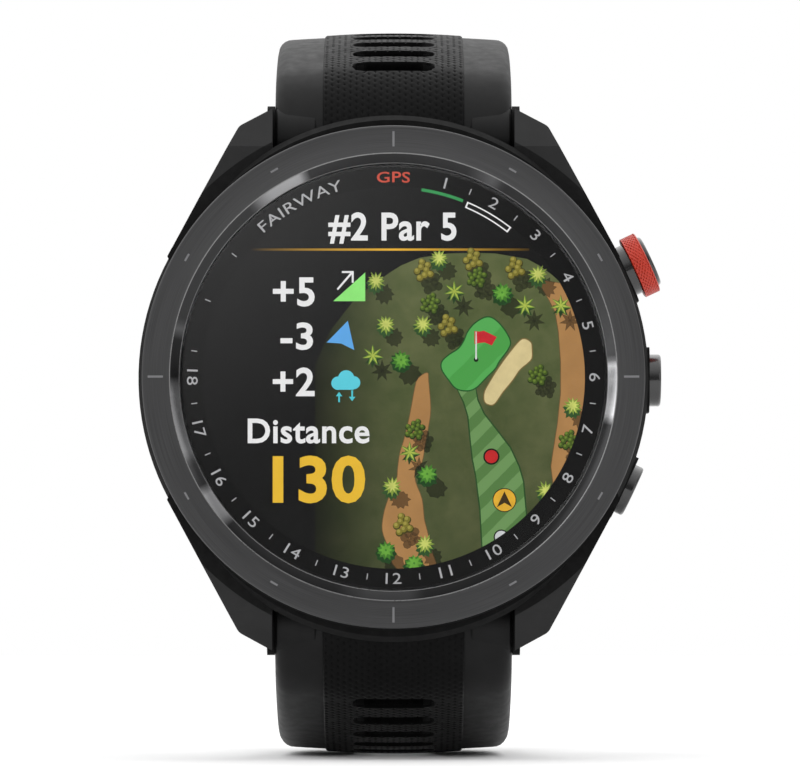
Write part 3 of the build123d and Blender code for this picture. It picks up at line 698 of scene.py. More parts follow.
# Plants: seen from above, with their shadows to the lower right


def disc(x, z, r, n):
    """Round outline."""
    return [(x + r * cos(2 * pi * i / n), z + r * sin(2 * pi * i / n)) for i in range(n)]


def star(x, z, tips, dip, n):
    """Spiky outline with n uneven tips."""
    out = []
    for i in range(2 * n):
        a = pi * i / n + draw.uniform(-0.08, 0.08)
        r = (tips * draw.uniform(0.85, 1.1)) if i % 2 == 0 else dip
        out.append((x + r * cos(a), z + r * sin(a)))
    return out


def leaf(x, z, angle, length, width):
    """Pointed leaf from its root."""
    c, s = cos(angle), sin(angle)
    shape = [(0, 0.15), (0.35, 0.5), (1, 0), (0.35, -0.5), (0, -0.15)]
    return [(x + length * u * c - width * v * s, z + length * u * s + width * v * c) for u, v in shape]


draw = random.Random(11)
SPIKY = [
    (4.2, 10.9), (13.3, 9.4), (2.7, 4.8), (16.5, -2.7), (-0.1, -10.1), (2.9, -15.4), (14.0, -10.5),
    (-1.6, 8.8), (-0.7, 4.8),
]
OLIVE = [(2.8, 9.9), (7.3, 10.9), (11.2, 10.1), (5.0, 4.8), (0.9, -13.5)]
CLUMP = [(7.7, 9.2), (3.4, 6.8), (13.3, 0.2), (2.0, -4.8), (16.1, -5.8)]
PALM = [(5.6, 7.9), (12.1, 6.6), (15.4, 6.6), (1.5, -6.9), (-1.9, 2.0)]
LEAFY = [(10.0, 7.7), (0.7, 1.5), (3.1, -9.0), (-0.7, -16.0), (1.9, -17.2)]
tones = {
    "spiky": ((46, 80, 38), (132, 156, 62), (196, 204, 104)),
    "olive": ((66, 62, 22), (124, 116, 42), (158, 148, 68)),
    "clump": ((30, 44, 14), (70, 92, 28), (104, 128, 44)),
    "palm": ((34, 62, 28), (92, 126, 48), (172, 188, 78)),
    "leafy": ((30, 68, 28), (68, 128, 42), (104, 166, 60)),
}
shapes = {(kind, tone): [] for kind in tones for tone in range(3)}
shadows = []
BUSH_R = 0.85
for x, z in SPIKY:
    shadows.append(star(x + 0.75, z - 1.15, 0.95, 0.7, 10))
    shapes["spiky", 0].append(star(x - 0.05, z - 0.32, 0.9, 0.66, 11))
    shapes["spiky", 1].append(star(x, z + 0.05, 0.92, 0.5, 12))
    for i in range(9):
        shapes["spiky", 2].append(leaf(x, z + 0.1, 2 * pi * i / 9 + 0.2, draw.uniform(0.6, 0.8), 0.2))
for kind, spots, count in (("olive", OLIVE, 8), ("clump", CLUMP, 13)):
    for x, z in spots:
        for i in range(count):
            a, r = 2.4 * i, BUSH_R * sqrt((i + 0.5) / count)
            u, v = x + r * cos(a), z + r * sin(a)
            size = 0.93 / sqrt(count)
            shadows.append(disc(u + 0.75, v - 1.15, size * 1.25, 8))
            shapes[kind, 0].append(disc(u + 0.03, v - 0.07, size * 1.12, 10))
            shapes[kind, 1].append(disc(u, v, size * 0.9, 10))
            shapes[kind, 2].append(disc(u - 0.05, v + 0.07, size * 0.5, 8))
for x, z in PALM:
    for i in range(7):
        a = pi / 2 + 2 * pi * i / 7
        shadows.append(leaf(x + 0.85, z - 1.4, a, 1.05, 0.42))
        shapes["palm", 0].append(leaf(x + 0.05, z - 0.3, a + 0.3, 0.9, 0.42))
        shapes["palm", 1].append(leaf(x, z, a, 1.02, 0.36))
        shapes["palm", 2].append(leaf(x, z, a + 0.05, 0.92, 0.17))
for x, z in LEAFY:
    shadows.append(star(x + 0.8, z - 1.2, 1.05, 0.85, 9))
    shapes["leafy", 0].append(star(x, z - 0.2, 1.05, 0.85, 10))
    shapes["leafy", 1].append(star(x, z + 0.05, 0.95, 0.6, 11))
    for i in range(8):
        a = 2 * pi * i / 8
        root = (x + 0.1 * cos(a), z + 0.1 + 0.1 * sin(a))
        shapes["leafy", 2].append(leaf(*root, a, draw.uniform(0.5, 0.75), 0.3))
sheet("map_shadows", shadows, 3, shade("map_shadow", 0.4))
for (kind, tone), outlines in shapes.items():
    leaves = lit(f"{kind}_{tone}", tones[kind][tone], 0.8, 1.15, 1500)
    sheet(f"map_{kind}_{tone}", outlines, 4 + tone, leaves)

# Flag and markers
POLE = [(7.52, 1.65), (7.68, 1.65), (7.66, 4.2), (7.54, 4.2)]
FLAG = [
    (7.45, 4.25), (7.45, 3.05), (7.9, 3.15), (8.4, 3.2), (9.05, 2.92), (9.5, 3.7), (8.9, 4.0),
    (8.3, 4.28), (7.9, 4.2),
]
LAYUP, PLAYER, BALL = (9.0, -7.3), (10.2, -11.3), (9.9, -14.7)
HEADING = [(10.2, -10.5), (9.5, -11.95), (10.2, -11.55), (10.9, -11.95)]
sheet("map_hole", [disc(7.6, 1.62, 0.22, 16)], 6, lit("map_hole_black", (20, 40, 20)))
sheet("map_pole", [POLE], 7, lit("map_pole_white", (216, 224, 216)))
sheet("map_flag", [FLAG], 7, lit("map_flag_red", (202, 36, 46), 0.85, 1.1, 1500))
rims = [disc(*LAYUP, 0.75, 32), disc(*PLAYER, 1.1, 40), disc(*BALL, 0.7, 32)]
sheet("map_marker_rims", rims, 4, lit("map_black", (16, 18, 12)))
sheet("map_layup", [disc(*LAYUP, 0.6, 32)], 5, lit("map_layup_red", (198, 38, 40)))
sheet("map_player", [disc(*PLAYER, 1.02, 40)], 5, lit("map_player_yellow", (224, 172, 50)))
sheet("map_heading", [HEADING], 6, lit("map_heading_dark", (60, 44, 16)))
sheet("map_ball", [disc(*BALL, 0.58, 32)], 5, lit("map_ball_white", (205, 208, 210)))

# Symbols beside the readings
white_mat = lit("screen_white", (236, 236, 236), 0.97, 1.03)
RISE = [(-5.55, 7.0), (-2.6, 7.0), (-2.6, 9.65)]
ARROW = [
    (-5.22, 8.14), (-3.98, 9.6), (-4.75, 9.6), (-4.75, 9.78), (-3.66, 9.78), (-3.66, 8.7), (-3.84, 8.7),
    (-3.84, 9.46), (-5.1, 8.02),
]
WIND = [(-4.2, 5.2), (-6.15, 3.2), (-4.8, 3.1), (-3.6, 2.5)]
CLOUD_BASE = [(-5.1, -1.15), (-3.65, -1.15), (-3.65, -0.3), (-5.1, -0.3)]
cloud = [disc(-5.1, -0.55, 0.62, 20), disc(-4.35, -0.1, 0.75, 20), disc(-3.65, -0.5, 0.6, 20), CLOUD_BASE]
AIR_ARROWS = [
    [(-5.3, -1.75), (-5.0, -1.35), (-4.7, -1.75)],
    [(-5.08, -2.3), (-5.08, -1.75), (-4.92, -1.75), (-4.92, -2.3)],
    [(-4.1, -1.8), (-3.8, -2.2), (-3.5, -1.8)],
    [(-3.88, -1.8), (-3.88, -1.2), (-3.72, -1.2), (-3.72, -1.8)],
]
sheet("rise_symbol", [RISE], 1, even("screen_green", (142, 232, 120)))
sheet("rise_arrow", [ARROW], 1, white_mat)
sheet("wind_arrow", [WIND], 1, even("screen_blue", (94, 168, 232)))
sheet("air_symbol", cloud, 1, even("screen_cyan", (92, 206, 222)))
sheet("air_arrows", AIR_ARROWS, 1, even("screen_teal", (80, 200, 212)))


def fading(name, colour, reach):
    """Lit line that fades out at both ends."""
    m = unlit(name)
    fade = m.mapped(m.math("ABSOLUTE", m.axes()["X"]), 0.0, reach * MM, 1.0, 0.0)
    m.bsdf.inputs["Emission Color"].default_value = (*srgb(*colour), 1)
    m.link(fade, m.bsdf.inputs["Emission Strength"])
    return m.mat


LINE = [(-13.2, 11.66), (12.5, 11.66), (12.5, 11.86), (-13.2, 11.86)]
sheet("title_line", [LINE], 1, fading("line_yellow", (238, 182, 52), 13.2))

# Lettering: the built-in font, as flat meshes


def glyphs(text, weight):
    """Points and faces of a line of text, from its lower left corner, one unit high."""
    curve = bpy.data.curves.new("lettering", "FONT")
    curve.body = text
    curve.offset = weight
    curve.resolution_u = 4
    curve.space_character = 1.05
    obj = bpy.data.objects.new("lettering", curve)
    scene.collection.objects.link(obj)
    mesh = bpy.data.meshes.new_from_object(obj.evaluated_get(bpy.context.evaluated_depsgraph_get()))
    points = np.array([v.co[:2] for v in mesh.vertices])
    faces = [tuple(p.vertices) for p in mesh.polygons]
    bpy.data.objects.remove(obj)
    bpy.data.curves.remove(curve)
    bpy.data.meshes.remove(mesh)
    points -= points.min(axis=0)
    return points / points[:, 1].max(), faces


def lettering(name, items, depth, material, slot):
    """One mesh of several lines of text, each with the function that places its points."""
    verts, faces = [], []
    for text, weight, place in items:
        points, polys = glyphs(text, weight)
        start = len(verts)
        verts += [(x, depth - DEPTH, z) for x, z in place(points)]
        faces += [tuple(start + i for i in poly) for poly in polys]
    return mesh_object(name, verts, faces, material, smooth=False, slot=slot)


def in_box(x0, x1, z0, z1):
    """Text stretched to fill a box."""
    return lambda p: [(x0 + (x1 - x0) * u / p[:, 0].max(), z0 + (z1 - z0) * v) for u, v in p]


def on_arc(clock, radius, height, stretch, outward=True):
    """Text bent round the centre, its middle at a clock angle in degrees from 12."""

    sign = 1 if outward else -1

    def place(p):
        out = []
        middle = p[:, 0].max() / 2
        for u, v in p:
            along, up = (u - middle) * height * stretch, (v - 0.5) * height
            a, r = radians(clock) + sign * along / radius, radius + sign * up
            out.append((r * sin(a), r * cos(a)))
        return out

    return place


screen = LAYERS[1]
lettering("title", [("#2 Par 5", 0.022, in_box(-6.0, 5.8, 12.3, 15.2))], screen, white_mat, "display")
lettering("changes", [
    ("+5", 0.022, in_box(-11.1, -7.25, 6.5, 9.2)),
    ("-3", 0.022, in_box(-10.4, -7.4, 2.5, 5.05)),
    ("+2", 0.022, in_box(-11.1, -7.25, -1.75, 0.9)),
    ("Distance", 0.02, in_box(-13.4, -2.2, -6.1, -3.8)),
], screen, white_mat, "display")
number = [("130", 0.03, in_box(-11.1, -2.6, -11.6, -7.2))]
lettering("distance", number, screen, lit("screen_yellow", (232, 186, 52), 0.97, 1.03), "display")

# Marks for the holes played, along the display's edge
DONE, NOW = (81.5, 68.5), (67.2, 51.8)
NOW_LINE = 0.5  # degrees
inside = (NOW[0] - NOW_LINE, NOW[1] + NOW_LINE)
sheet("hole_done", [band(17.62, 17.32, *DONE)], 1, lit("screen_mark_green", (54, 150, 84)))
sheet("hole_current", [band(17.55, 16.95, *NOW)], 1, white_mat)
sheet("hole_current_inside", [band(17.43, 17.07, *inside)], 2, lit("screen_dark", (14, 14, 14)))

# Number ring round the display. Its printed numbers, word and ticks are given a glow of their own: painted
# light, since print gives none
RING_IN, RING_OUT, RING_FRONT, RING_BACK = 17.6, 19.5, 1.93, 2.05
glowing_print = lit("print_grey_glow", (176, 176, 178), 0.93, 1.05)
ring = lathe(
    "hole_ring_print",
    [(RING_IN, RING_FRONT), (RING_OUT, RING_FRONT), (RING_OUT, RING_BACK), (RING_IN, RING_BACK)],
    MATERIALS["scale_print"],
    steps=256,
    replaces=("hole_scale_ring",),
    slot="scale_print",
)
set_sharp(ring, 30)
HOLE_STEP = 15  # degrees from one hole's number to the next
numbers = [(str(k), 0.0, on_arc(HOLE_STEP * k, 18.5, 1.0, 1.25, k < 7)) for k in range(1, 19)]
numbers.append(("FAIRWAY", 0.0, on_arc(-28.5, 18.35, 1.0, 1.35)))
lettering("hole_numbers", numbers, PRINT_DEPTH, glowing_print, "scale_print")
word = [("GPS", 0.012, on_arc(0, 18.45, 1.0, 1.3))]
lettering("ring_word", word, PRINT_DEPTH, lit("print_red_glow", (196, 78, 60)), "scale_print")
ticks = [rim_mark(18.2, 18.75, 90 - HOLE_STEP * (k + 0.5), 0.045, PRINT_DEPTH - 0.003) for k in range(1, 22)]
patches("hole_ticks", ticks, glowing_print, 0.008, slot="scale_print")

# ---- Knurled ring of the upper button ----


def knurled_ring(name, angle, inner, outer, start, width, material, **kw):
    """Ring with a diamond knurl on its rim, on a button's axis."""
    c, s = cos(radians(angle)), sin(radians(angle))
    around, along = 288, 28
    diamonds, rows = 36, 5
    knurl, round_r = 0.075, 0.14
    verts, faces = [], []
    for i in range(around):
        a = 2 * pi * i / around
        profile = [(inner, start + width), (inner, start)]
        for j in range(along + 1):
            t = j / along
            edge = min(t, 1 - t) * width
            if edge < round_r:
                r = outer - (round_r - sqrt(max(round_r**2 - (round_r - edge) ** 2, 0)))
            else:
                u, v = diamonds * a / 2, rows * pi * t
                r = outer - knurl * (1 - abs(sin(u + v)) * abs(sin(u - v)))
            profile.append((r, start + t * width))
        for r, reach in profile:
            p, q = r * cos(a), r * sin(a)
            verts.append((reach * c - p * s, BUTTON_Y + q, reach * s + p * c))
    n = along + 3
    for i in range(around):
        j = (i + 1) % around
        for k in range(n):
            m = (k + 1) % n
            faces.append((i * n + k, i * n + m, j * n + m, j * n + k))
    obj = mesh_object(name, verts, faces, material, **kw)
    fix_normals(obj)
    set_sharp(obj, 35)
    return obj


knurled_ring("red_knurled_ring", 24.9, 2.23, 2.95, 24.41, 1.53, MATERIALS["red_ring"], body="action_button",
             replaces=("action_button_ring",), slot="red_ring")

# ---- Strap ----


def path_frame(half, s):
    """Position and heading on the outer face at a distance from the lug pin."""
    h = radians(half["heading"])
    y, z = PIN_Y - BARREL_R * sin(h), PIN_Z + BARREL_R * cos(h)
    left = s
    for radius, turn in half["runs"]:
        length = radius * abs(radians(turn)) if radius else turn
        used = min(left, length) if (radius, turn) != half["runs"][-1] else left
        if radius:
            h1 = h + math.copysign(used / radius, turn)
            k = math.copysign(radius, turn)
            y += k * (sin(h1) - sin(h))
            z += k * (cos(h) - cos(h1))
            h = h1
        else:
            y += used * cos(h)
            z += used * sin(h)
        left -= used
        if left <= 1e-9:
            break
    return y, z, h


def total_length(half):
    """Length along the outer face."""
    return sum(radius * abs(radians(turn)) if radius else turn for radius, turn in half["runs"])


def half_width(end, y):
    """Half the strap's width at a place along Y."""
    table = TAPER[end]
    return float(np.interp(y, [t[0] for t in table], [t[1] for t in table]))


def slot_centres(half):
    """Distances of the slots' centre lines."""
    length = total_length(half)
    first, plain, pitch = half["slots"]
    count = int((length - plain - first) / pitch) + 1
    return [first + i * pitch for i in range(count)]


def slot_half_length(ds):
    """Half the slot's length across the strap at a distance from its centre line."""
    r = SLOT_W / 2
    ds = min(abs(ds), r)
    return SLOT_L / 2 - r + sqrt(max(r * r - ds * ds, 0))


def rows_for(half, coarse, fine):
    """Row distances with a row on each slot's edges."""
    length = total_length(half)
    stops = [0.0]
    for c in slot_centres(half):
        stops += [c - SLOT_W / 2, c + SLOT_W / 2]
    stops += [length - NOTCH_L, length]
    rows = []
    for a, b in zip(stops, stops[1:]):
        inside = abs((b - a) - SLOT_W) < 1e-6
        n = max(1, round((b - a) / (fine if inside else coarse)))
        rows += [a + (b - a) * i / n for i in range(n)]
    rows.append(length)
    return rows


def warp_columns(xs, s, centres, fixed):
    """Shifts the columns near a slot's ends so that one of them follows the rounded outline."""
    reach = 0.35
    near = min(centres, key=lambda c: abs(c - s))
    gap = abs(s - near) - SLOT_W / 2
    if gap > reach:
        return xs
    target = slot_half_length(s - near)
    target = target + (fixed - target) * max(gap, 0) / reach
    lo, hi = fixed - 1.3, fixed + 0.7
    out = []
    for x in xs:
        m = abs(x)
        if lo < m <= fixed:
            m = lo + (m - lo) * (target - lo) / (fixed - lo)
        elif fixed < m < hi:
            m = target + (m - fixed) * (hi - target) / (hi - fixed)
        out.append(math.copysign(m, x))
    return out


def in_slot(s, x, centres, fixed):
    """Whether a cell is open because a slot is there."""
    near = min(centres, key=lambda c: abs(c - s))
    return abs(s - near) < SLOT_W / 2 - 1e-6 and abs(x) < fixed - 1e-6


def in_notch(end, half, s, x):
    """The upper half's end is cut out for the buckle's tongue."""
    return end == "upper" and s > total_length(half) - NOTCH_L and abs(x) < NOTCH_HALF


def rounding(x, half_w, radius):
    """How far a rounded edge falls away at a distance from the middle."""
    edge = max(0.0, abs(x) - (half_w - radius))
    return radius - sqrt(max(radius * radius - edge * edge, 0))


def is_open(end, half, s, x, centres):
    """Whether a cell of the strap is cut away."""
    return in_slot(s, x, centres, SLOT_X) or in_notch(end, half, s, x)


def crown(x, half_w):
    """Height of the outer face across the strap, relative to the middle."""
    return -0.42 * (x / half_w) ** 2 - rounding(x, half_w, 1.1)


def tip_width(end, half, s, w):
    """Half-width with the tail's round tip."""
    if end == "lower":
        into = s - (total_length(half) - TIP_R)
        if into > 0:
            return sqrt(max(TIP_R**2 - into * into, 0.16)) * w / TIP_R
    return w


def raised(half, y, z, h, offset, x):
    """Point at a height over the outer face."""
    return (x, y - sin(h) * offset, half["sign"] * (z + cos(h) * offset))


PIT_PITCH = 0.1425  # columns of the textured strip
EDGE_COLUMN, SLOT_COLUMN = 46, 24  # counted from the middle
STRIP_COLUMNS = [i * PIT_PITCH for i in range(-EDGE_COLUMN, EDGE_COLUMN + 1)]
SLOT_X = SLOT_COLUMN * PIT_PITCH  # column that follows the slots' outlines


def build_band(end, half):
    """Plain body of one strap half: outer and inner skins joined by walls, with open slots."""
    centres = slot_centres(half)
    columns = [0, 0.9, NOTCH_HALF, 2.1, 2.7, 3.1, SLOT_X, 3.8, 4.3, 5.2, 6.3]
    base = sorted({-x for x in columns} | set(columns))
    to_edge = [2.2, 1.3, 0.9, 0.55, 0.28, 0.1, 0.0]
    margin = len(to_edge) + 1
    rows = rows_for(half, 0.8, 0.28)
    verts, outer, inner = [], [], []
    for s in rows:
        y, z, h = path_frame(half, s)
        w = half_width(end, y)
        squeeze = tip_width(end, half, s, w) / w
        sides = [7.2] + [w - d for d in to_edge]
        xs = [-x for x in reversed(sides)] + list(warp_columns(base, s, centres, SLOT_X)) + sides
        outer.append([])
        inner.append([])
        for x in xs:
            for grid, offset in ((outer, crown(x, w)), (inner, rounding(x, w, 0.7) - STRAP_T)):
                grid[-1].append(len(verts))
                verts.append(raised(half, y, z, h, offset, x * squeeze))
    keep = []
    for a, b in zip(rows, rows[1:]):
        mid = (a + b) / 2
        middles = [(p + q) / 2 for p, q in zip(base, base[1:])]
        middle_cells = [not is_open(end, half, mid, x, centres) for x in middles]
        keep.append([True] * margin + middle_cells + [True] * margin)
    faces = skin_faces(outer, inner, keep)
    obj = mesh_object(
        f"{end}_strap_body",
        verts,
        faces,
        MATERIALS["silicone"],
        body=f"{end}_strap_half",
        replaces=(f"{end}_strap",),
        slot="silicone",
    )
    fix_normals(obj)
    set_sharp(obj, 50)
    return obj


def skin_faces(top, bottom, keep, closed=True):
    """Quads of two matching grids, with walls wherever a kept cell borders an open one."""
    faces = []
    n_rows, n_cols = len(keep), len(keep[0])

    def open_at(i, j):
        return not (0 <= i < n_rows and 0 <= j < n_cols and keep[i][j])

    for i in range(n_rows):
        for j in range(n_cols):
            if not keep[i][j]:
                continue
            a, b, c, d = (i, j), (i, j + 1), (i + 1, j + 1), (i + 1, j)
            faces.append(tuple(top[p][q] for p, q in (a, b, c, d)))
            if closed:
                faces.append(tuple(bottom[p][q] for p, q in (d, c, b, a)))
            neighbours = ((a, b, i - 1, j), (b, c, i, j + 1), (c, d, i + 1, j), (d, a, i, j - 1))
            for (p0, p1), (q0, q1), row, column in neighbours:
                if open_at(row, column):
                    faces.append((top[p0][p1], bottom[p0][p1], bottom[q0][q1], top[q0][q1]))
    return faces


# Darker copy of the strap silicone: painted shade standing in for the shade inside the strip's small pits
SHADED_STRIP_SILICONE = silicone("strip_silicone_painted_shade", 0.003, 0.09, 0.5)


def pit(column, row):
    """Whether a point of the strip is a pit: every fourth column, every fourth row, staggered."""
    place, inside = divmod(column + 2, 4)
    return inside == 2 and (row + 2 * (place % 2)) % 4 == 0


def build_strip(end, half):
    """Raised textured strip: staggered rows of small pits in the outer face."""
    centres = slot_centres(half)
    row_step, pit_depth, edge_drop, sag = 0.175, 0.17, 0.1, 0.24
    base = STRIP_COLUMNS
    rows = [s for s in rows_for(half, row_step, 0.22) if s < total_length(half) - 0.6]
    top, low, verts = [], [], []
    for s in rows:
        y, z, h = path_frame(half, s)
        w = half_width(end, y)
        squeeze = tip_width(end, half, s, w) / w
        top.append([])
        low.append([])
        for j, x in enumerate(warp_columns(base, s, centres, SLOT_X)):
            column = j - EDGE_COLUMN
            height = STRIP_H - sag * (x / STRIP_HALF) ** 2
            if abs(column) >= EDGE_COLUMN:
                height -= edge_drop
            elif abs(column) < EDGE_COLUMN - 1 and pit(column, round(s / row_step)):
                height -= pit_depth
            for grid, offset in ((top, height), (low, -0.6)):
                grid[-1].append(len(verts))
                verts.append(raised(half, y, z, h, offset, x * squeeze))
    keep = []
    for a, b in zip(rows, rows[1:]):
        mid = (a + b) / 2
        middles = [(p + q) / 2 for p, q in zip(base, base[1:])]
        keep.append([not is_open(end, half, mid, x, centres) for x in middles])
    faces = skin_faces(top, low, keep, closed=False)
    used = sorted({v for f in faces for v in f})
    index = {v: n for n, v in enumerate(used)}
    verts = [verts[v] for v in used]
    faces = [tuple(index[v] for v in f) for f in faces]
    if half["sign"] > 0:
        faces = [f[::-1] for f in faces]
    obj = mesh_object(
        f"{end}_strap_strip",
        verts,
        faces,
        SHADED_STRIP_SILICONE,
        body=f"{end}_strap_half",
        slot="silicone",
    )
    set_sharp(obj, 55)
    return obj


def build_roll(end, half):
    """Rolled strap end around the lug pin: a bored barrel each side and a lip in front of the hook."""
    sign = half["sign"]
    verts, faces = [], []
    steps = 72

    def barrel(x0, x1, r_in, r_out, a0, a1):
        stations = [(x0, -0.25), (x0 + 0.25, 0.0), (x1 - 0.25, 0.0), (x1, -0.25)]
        n = round(steps * (a1 - a0) / 360)
        closed = abs(a1 - a0 - 360) < 1e-6
        loops = []
        for i in range(n if closed else n + 1):
            a = radians(a0 + (a1 - a0) * i / n)
            loop = []
            for x, cut in stations:
                loop.append(len(verts))
                r = r_out + cut
                verts.append((x, PIN_Y + r * cos(a), sign * (PIN_Z + r * sin(a))))
            for x, cut in reversed(stations):
                loop.append(len(verts))
                verts.append((x, PIN_Y + r_in * cos(a), sign * (PIN_Z + r_in * sin(a))))
            loops.append(loop)
        m = len(loops[0])
        for i in range(len(loops) if closed else len(loops) - 1):
            p, q = loops[i], loops[(i + 1) % len(loops)]
            for k in range(m):
                faces.append((p[k], p[(k + 1) % m], q[(k + 1) % m], q[k]))
        if not closed:
            faces.append(tuple(loops[0]))
            faces.append(tuple(reversed(loops[-1])))

    for x0, x1 in ((-11.0, -7.06), (7.06, 11.0)):
        barrel(x0, x1, 1.1, BARREL_R, 0, 360)
    h = half["heading"]
    barrel(-7.06, 7.06, 2.04, BARREL_R, h + 90, h + 170)
    obj = mesh_object(
        f"{end}_strap_roll",
        verts,
        faces,
        MATERIALS["silicone"],
        body=f"{end}_strap_half",
        slot="silicone",
    )
    fix_normals(obj)
    set_sharp(obj, 30)
    return obj


END_Y, END_Z = path_frame(HALVES["upper"], total_length(HALVES["upper"]))[:2]


def build_bar_loops():
    """End of the upper half, rolled round the buckle bar on both sides of the tongue."""
    bar_y, bar_z, thick = END_Y - STRAP_T / 2, END_Z - BAR_DROP, STRAP_T / 2
    reach, steps = BAR_DROP + 0.5, 64
    verts, faces = [], []
    for side in (-1, 1):
        start = len(verts)
        stations = [(NOTCH_HALF, 0.2), (NOTCH_HALF + 0.2, 0), (9.45, 0), (9.75, 0.12), (9.85, 0.35)]
        for i in range(steps):
            a = 2 * pi * i / steps
            c, up = cos(a), sin(a)
            r = thick
            if up > 0:
                r = min(thick / max(abs(c), 1e-6), reach / up)
            for x, cut in stations:
                verts.append((side * x, bar_y + (r - cut) * c, bar_z + (r - cut) * up))
            for x, cut in (stations[-1], stations[0]):
                verts.append((side * x, bar_y + BAR_BORE * c, bar_z + BAR_BORE * up))
        n = len(stations) + 2
        for i in range(steps):
            j = (i + 1) % steps
            for k in range(n):
                m = (k + 1) % n
                faces.append((start + i * n + k, start + i * n + m, start + j * n + m, start + j * n + k))
    obj = mesh_object(
        "upper_strap_bar_loops",
        verts,
        faces,
        MATERIALS["silicone"],
        body="upper_strap_half",
        slot="silicone",
    )
    fix_normals(obj)
    set_sharp(obj, 40)
    return obj


build_bar_loops()
for end, half in HALVES.items():
    build_band(end, half)
    build_strip(end, half)
    build_roll(end, half)

# ---- Keepers: soft loops round the strap's straight end ----


def keeper(node, body, height, gap):
    """Rounded loop of a constant wall, swept round a rounded rectangle."""
    back, front = END_Y - STRAP_T - gap, END_Y + STRIP_H + 3.7
    middle, depth = (back + front) / 2, (front - back) / 2 + KEEPER_WALL / 2
    half, corner = 9.9 + gap + KEEPER_WALL / 2, 1.15
    path = []
    for turn, (sx, sy) in enumerate(((1, 1), (-1, 1), (-1, -1), (1, -1))):
        cx, cy = sx * (half - corner), middle + sy * (depth - corner)
        for i in range(13):
            a = pi / 2 * (turn + i / 12)
            path.append((cx + corner * cos(a), cy + corner * sin(a), cos(a), sin(a)))
    rim = []
    for i in range(32):
        a = 2 * pi * i / 32
        u, v = math.copysign(abs(cos(a)) ** 0.45, cos(a)), math.copysign(abs(sin(a)) ** 0.3, sin(a))
        rim.append((KEEPER_WALL / 2 * u, KEEPER_W / 2 * v))
    verts = [(x + nx * u, y + ny * u, END_Z + height + v) for x, y, nx, ny in path for u, v in rim]
    n, m = len(path), len(rim)
    faces = []
    for i in range(n):
        here, there = i * m, (i + 1) % n * m
        for j in range(m):
            k = (j + 1) % m
            faces.append((here + j, here + k, there + k, there + j))
    obj = mesh_object(
        f"{node}_loop",
        verts,
        faces,
        MATERIALS["silicone"],
        body=body,
        replaces=(node,),
        slot="silicone",
    )
    fix_normals(obj)
    return obj


keeper("fixed_keeper", "upper_strap_half", 6.5, 0.01)
keeper("sliding_keeper", "sliding_keeper", 16.0, 0.25)

# ---- Floor, light and camera ----

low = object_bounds()[0]
bpy.ops.mesh.primitive_plane_add(size=6, location=(0, 0.4, low.z - 0.00005))
floor = bpy.context.object
floor.name = "floor"
floor_paint = Nodes("floor_white", (0.93, 0.93, 0.93), 0.7)
floor_paint.rough(floor_paint.spread(floor_paint.noise(20), 0.65, 0.8))
floor.data.materials.append(floor_paint.mat)

world = bpy.data.worlds.new("studio")
scene.world = world
world.use_nodes = True


ROOM_FRONT, ROOM_BACK, ROOM_TOP = 0.16, 0.72, 1.15
FRONT_LIGHTS = [  # direction across and up, inner and outer size, strength
    (-0.05, 0.1, 0.02, 0.085, 0.6),  # what the lens mirrors in its upper left
    (-0.55, 0.35, 0.15, 0.45, 1.6),
    (0.6, 0.25, 0.1, 0.35, 1.2),
]


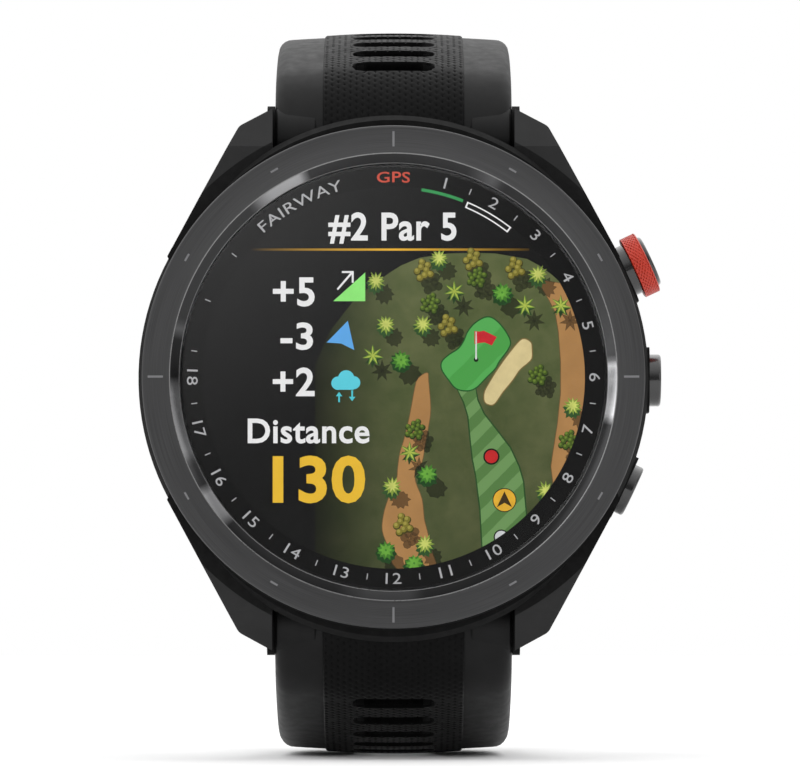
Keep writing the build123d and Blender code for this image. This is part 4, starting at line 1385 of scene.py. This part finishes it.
def world_light(tree):
    """White backdrop for the camera; a soft dark-to-light room for everything else."""
    link = tree.links.new

    def math_node(kind, *inputs):
        node = tree.nodes.new("ShaderNodeMath")
        node.operation = kind
        for i, value in enumerate(inputs):
            if isinstance(value, (int, float)):
                node.inputs[i].default_value = value
            else:
                link(value, node.inputs[i])
        return node.outputs[0]

    def step(value, low, high, to_low, to_high):
        node = tree.nodes.new("ShaderNodeMapRange")
        node.interpolation_type = "SMOOTHSTEP"
        for key, number in (("From Min", low), ("From Max", high), ("To Min", to_low), ("To Max", to_high)):
            node.inputs[key].default_value = number
        link(value, node.inputs["Value"])
        return node.outputs["Result"]

    coord = tree.nodes.new("ShaderNodeTexCoord")
    split = tree.nodes.new("ShaderNodeSeparateXYZ")
    link(coord.outputs["Generated"], split.inputs["Vector"])
    x, y, z = split.outputs

    def patch(px, pz, inside, outside, strength):
        """Soft round light in front of the watch, in the direction (px, -1, pz)."""
        dx, dz = math_node("SUBTRACT", x, px), math_node("SUBTRACT", z, pz)
        squares = math_node("MULTIPLY", dx, dx), math_node("MULTIPLY", dz, dz)
        far = math_node("SQRT", math_node("ADD", *squares))
        near = step(far, inside, outside, strength, 0.0)
        return math_node("MULTIPLY", near, step(y, -0.3, -0.5, 0.0, 1.0))

    room = step(y, -0.7, 0.5, ROOM_FRONT, ROOM_BACK)
    top = step(z, 0.15, 0.9, 0.0, ROOM_TOP)
    light = math_node("ADD", room, top)
    for spot in FRONT_LIGHTS:
        light = math_node("ADD", light, patch(*spot))
    rays = tree.nodes.new("ShaderNodeLightPath")
    mix = tree.nodes.new("ShaderNodeMix")
    mix.data_type = "FLOAT"
    link(rays.outputs["Is Camera Ray"], mix.inputs[0])
    link(light, mix.inputs[2])
    mix.inputs[3].default_value = 1.0
    background = tree.nodes["Background"]
    background.inputs["Color"].default_value = (1, 1, 1, 1)
    link(mix.outputs[0], background.inputs["Strength"])


world_light(world.node_tree)

camera_data = bpy.data.cameras.new("camera")
camera = bpy.data.objects.new("camera", camera_data)
scene.collection.objects.link(camera)
scene.camera = camera
CAMERA_FAR, CAMERA_LENS = 600, 294.6
ACROSS, EYE_Z, AIM_Z = 0.6, -24.0, -0.96
camera_data.sensor_width = 36
camera_data.lens = CAMERA_LENS
camera_data.clip_start, camera_data.clip_end = 0.01, 20
eye = Vector((ACROSS, -DEPTH - CAMERA_FAR, EYE_Z)) * MM
aim = Vector((ACROSS, -DEPTH, AIM_Z)) * MM
camera.location = eye
camera.rotation_mode = "QUATERNION"
camera.rotation_quaternion = (aim - eye).to_track_quat("-Z", "Y")
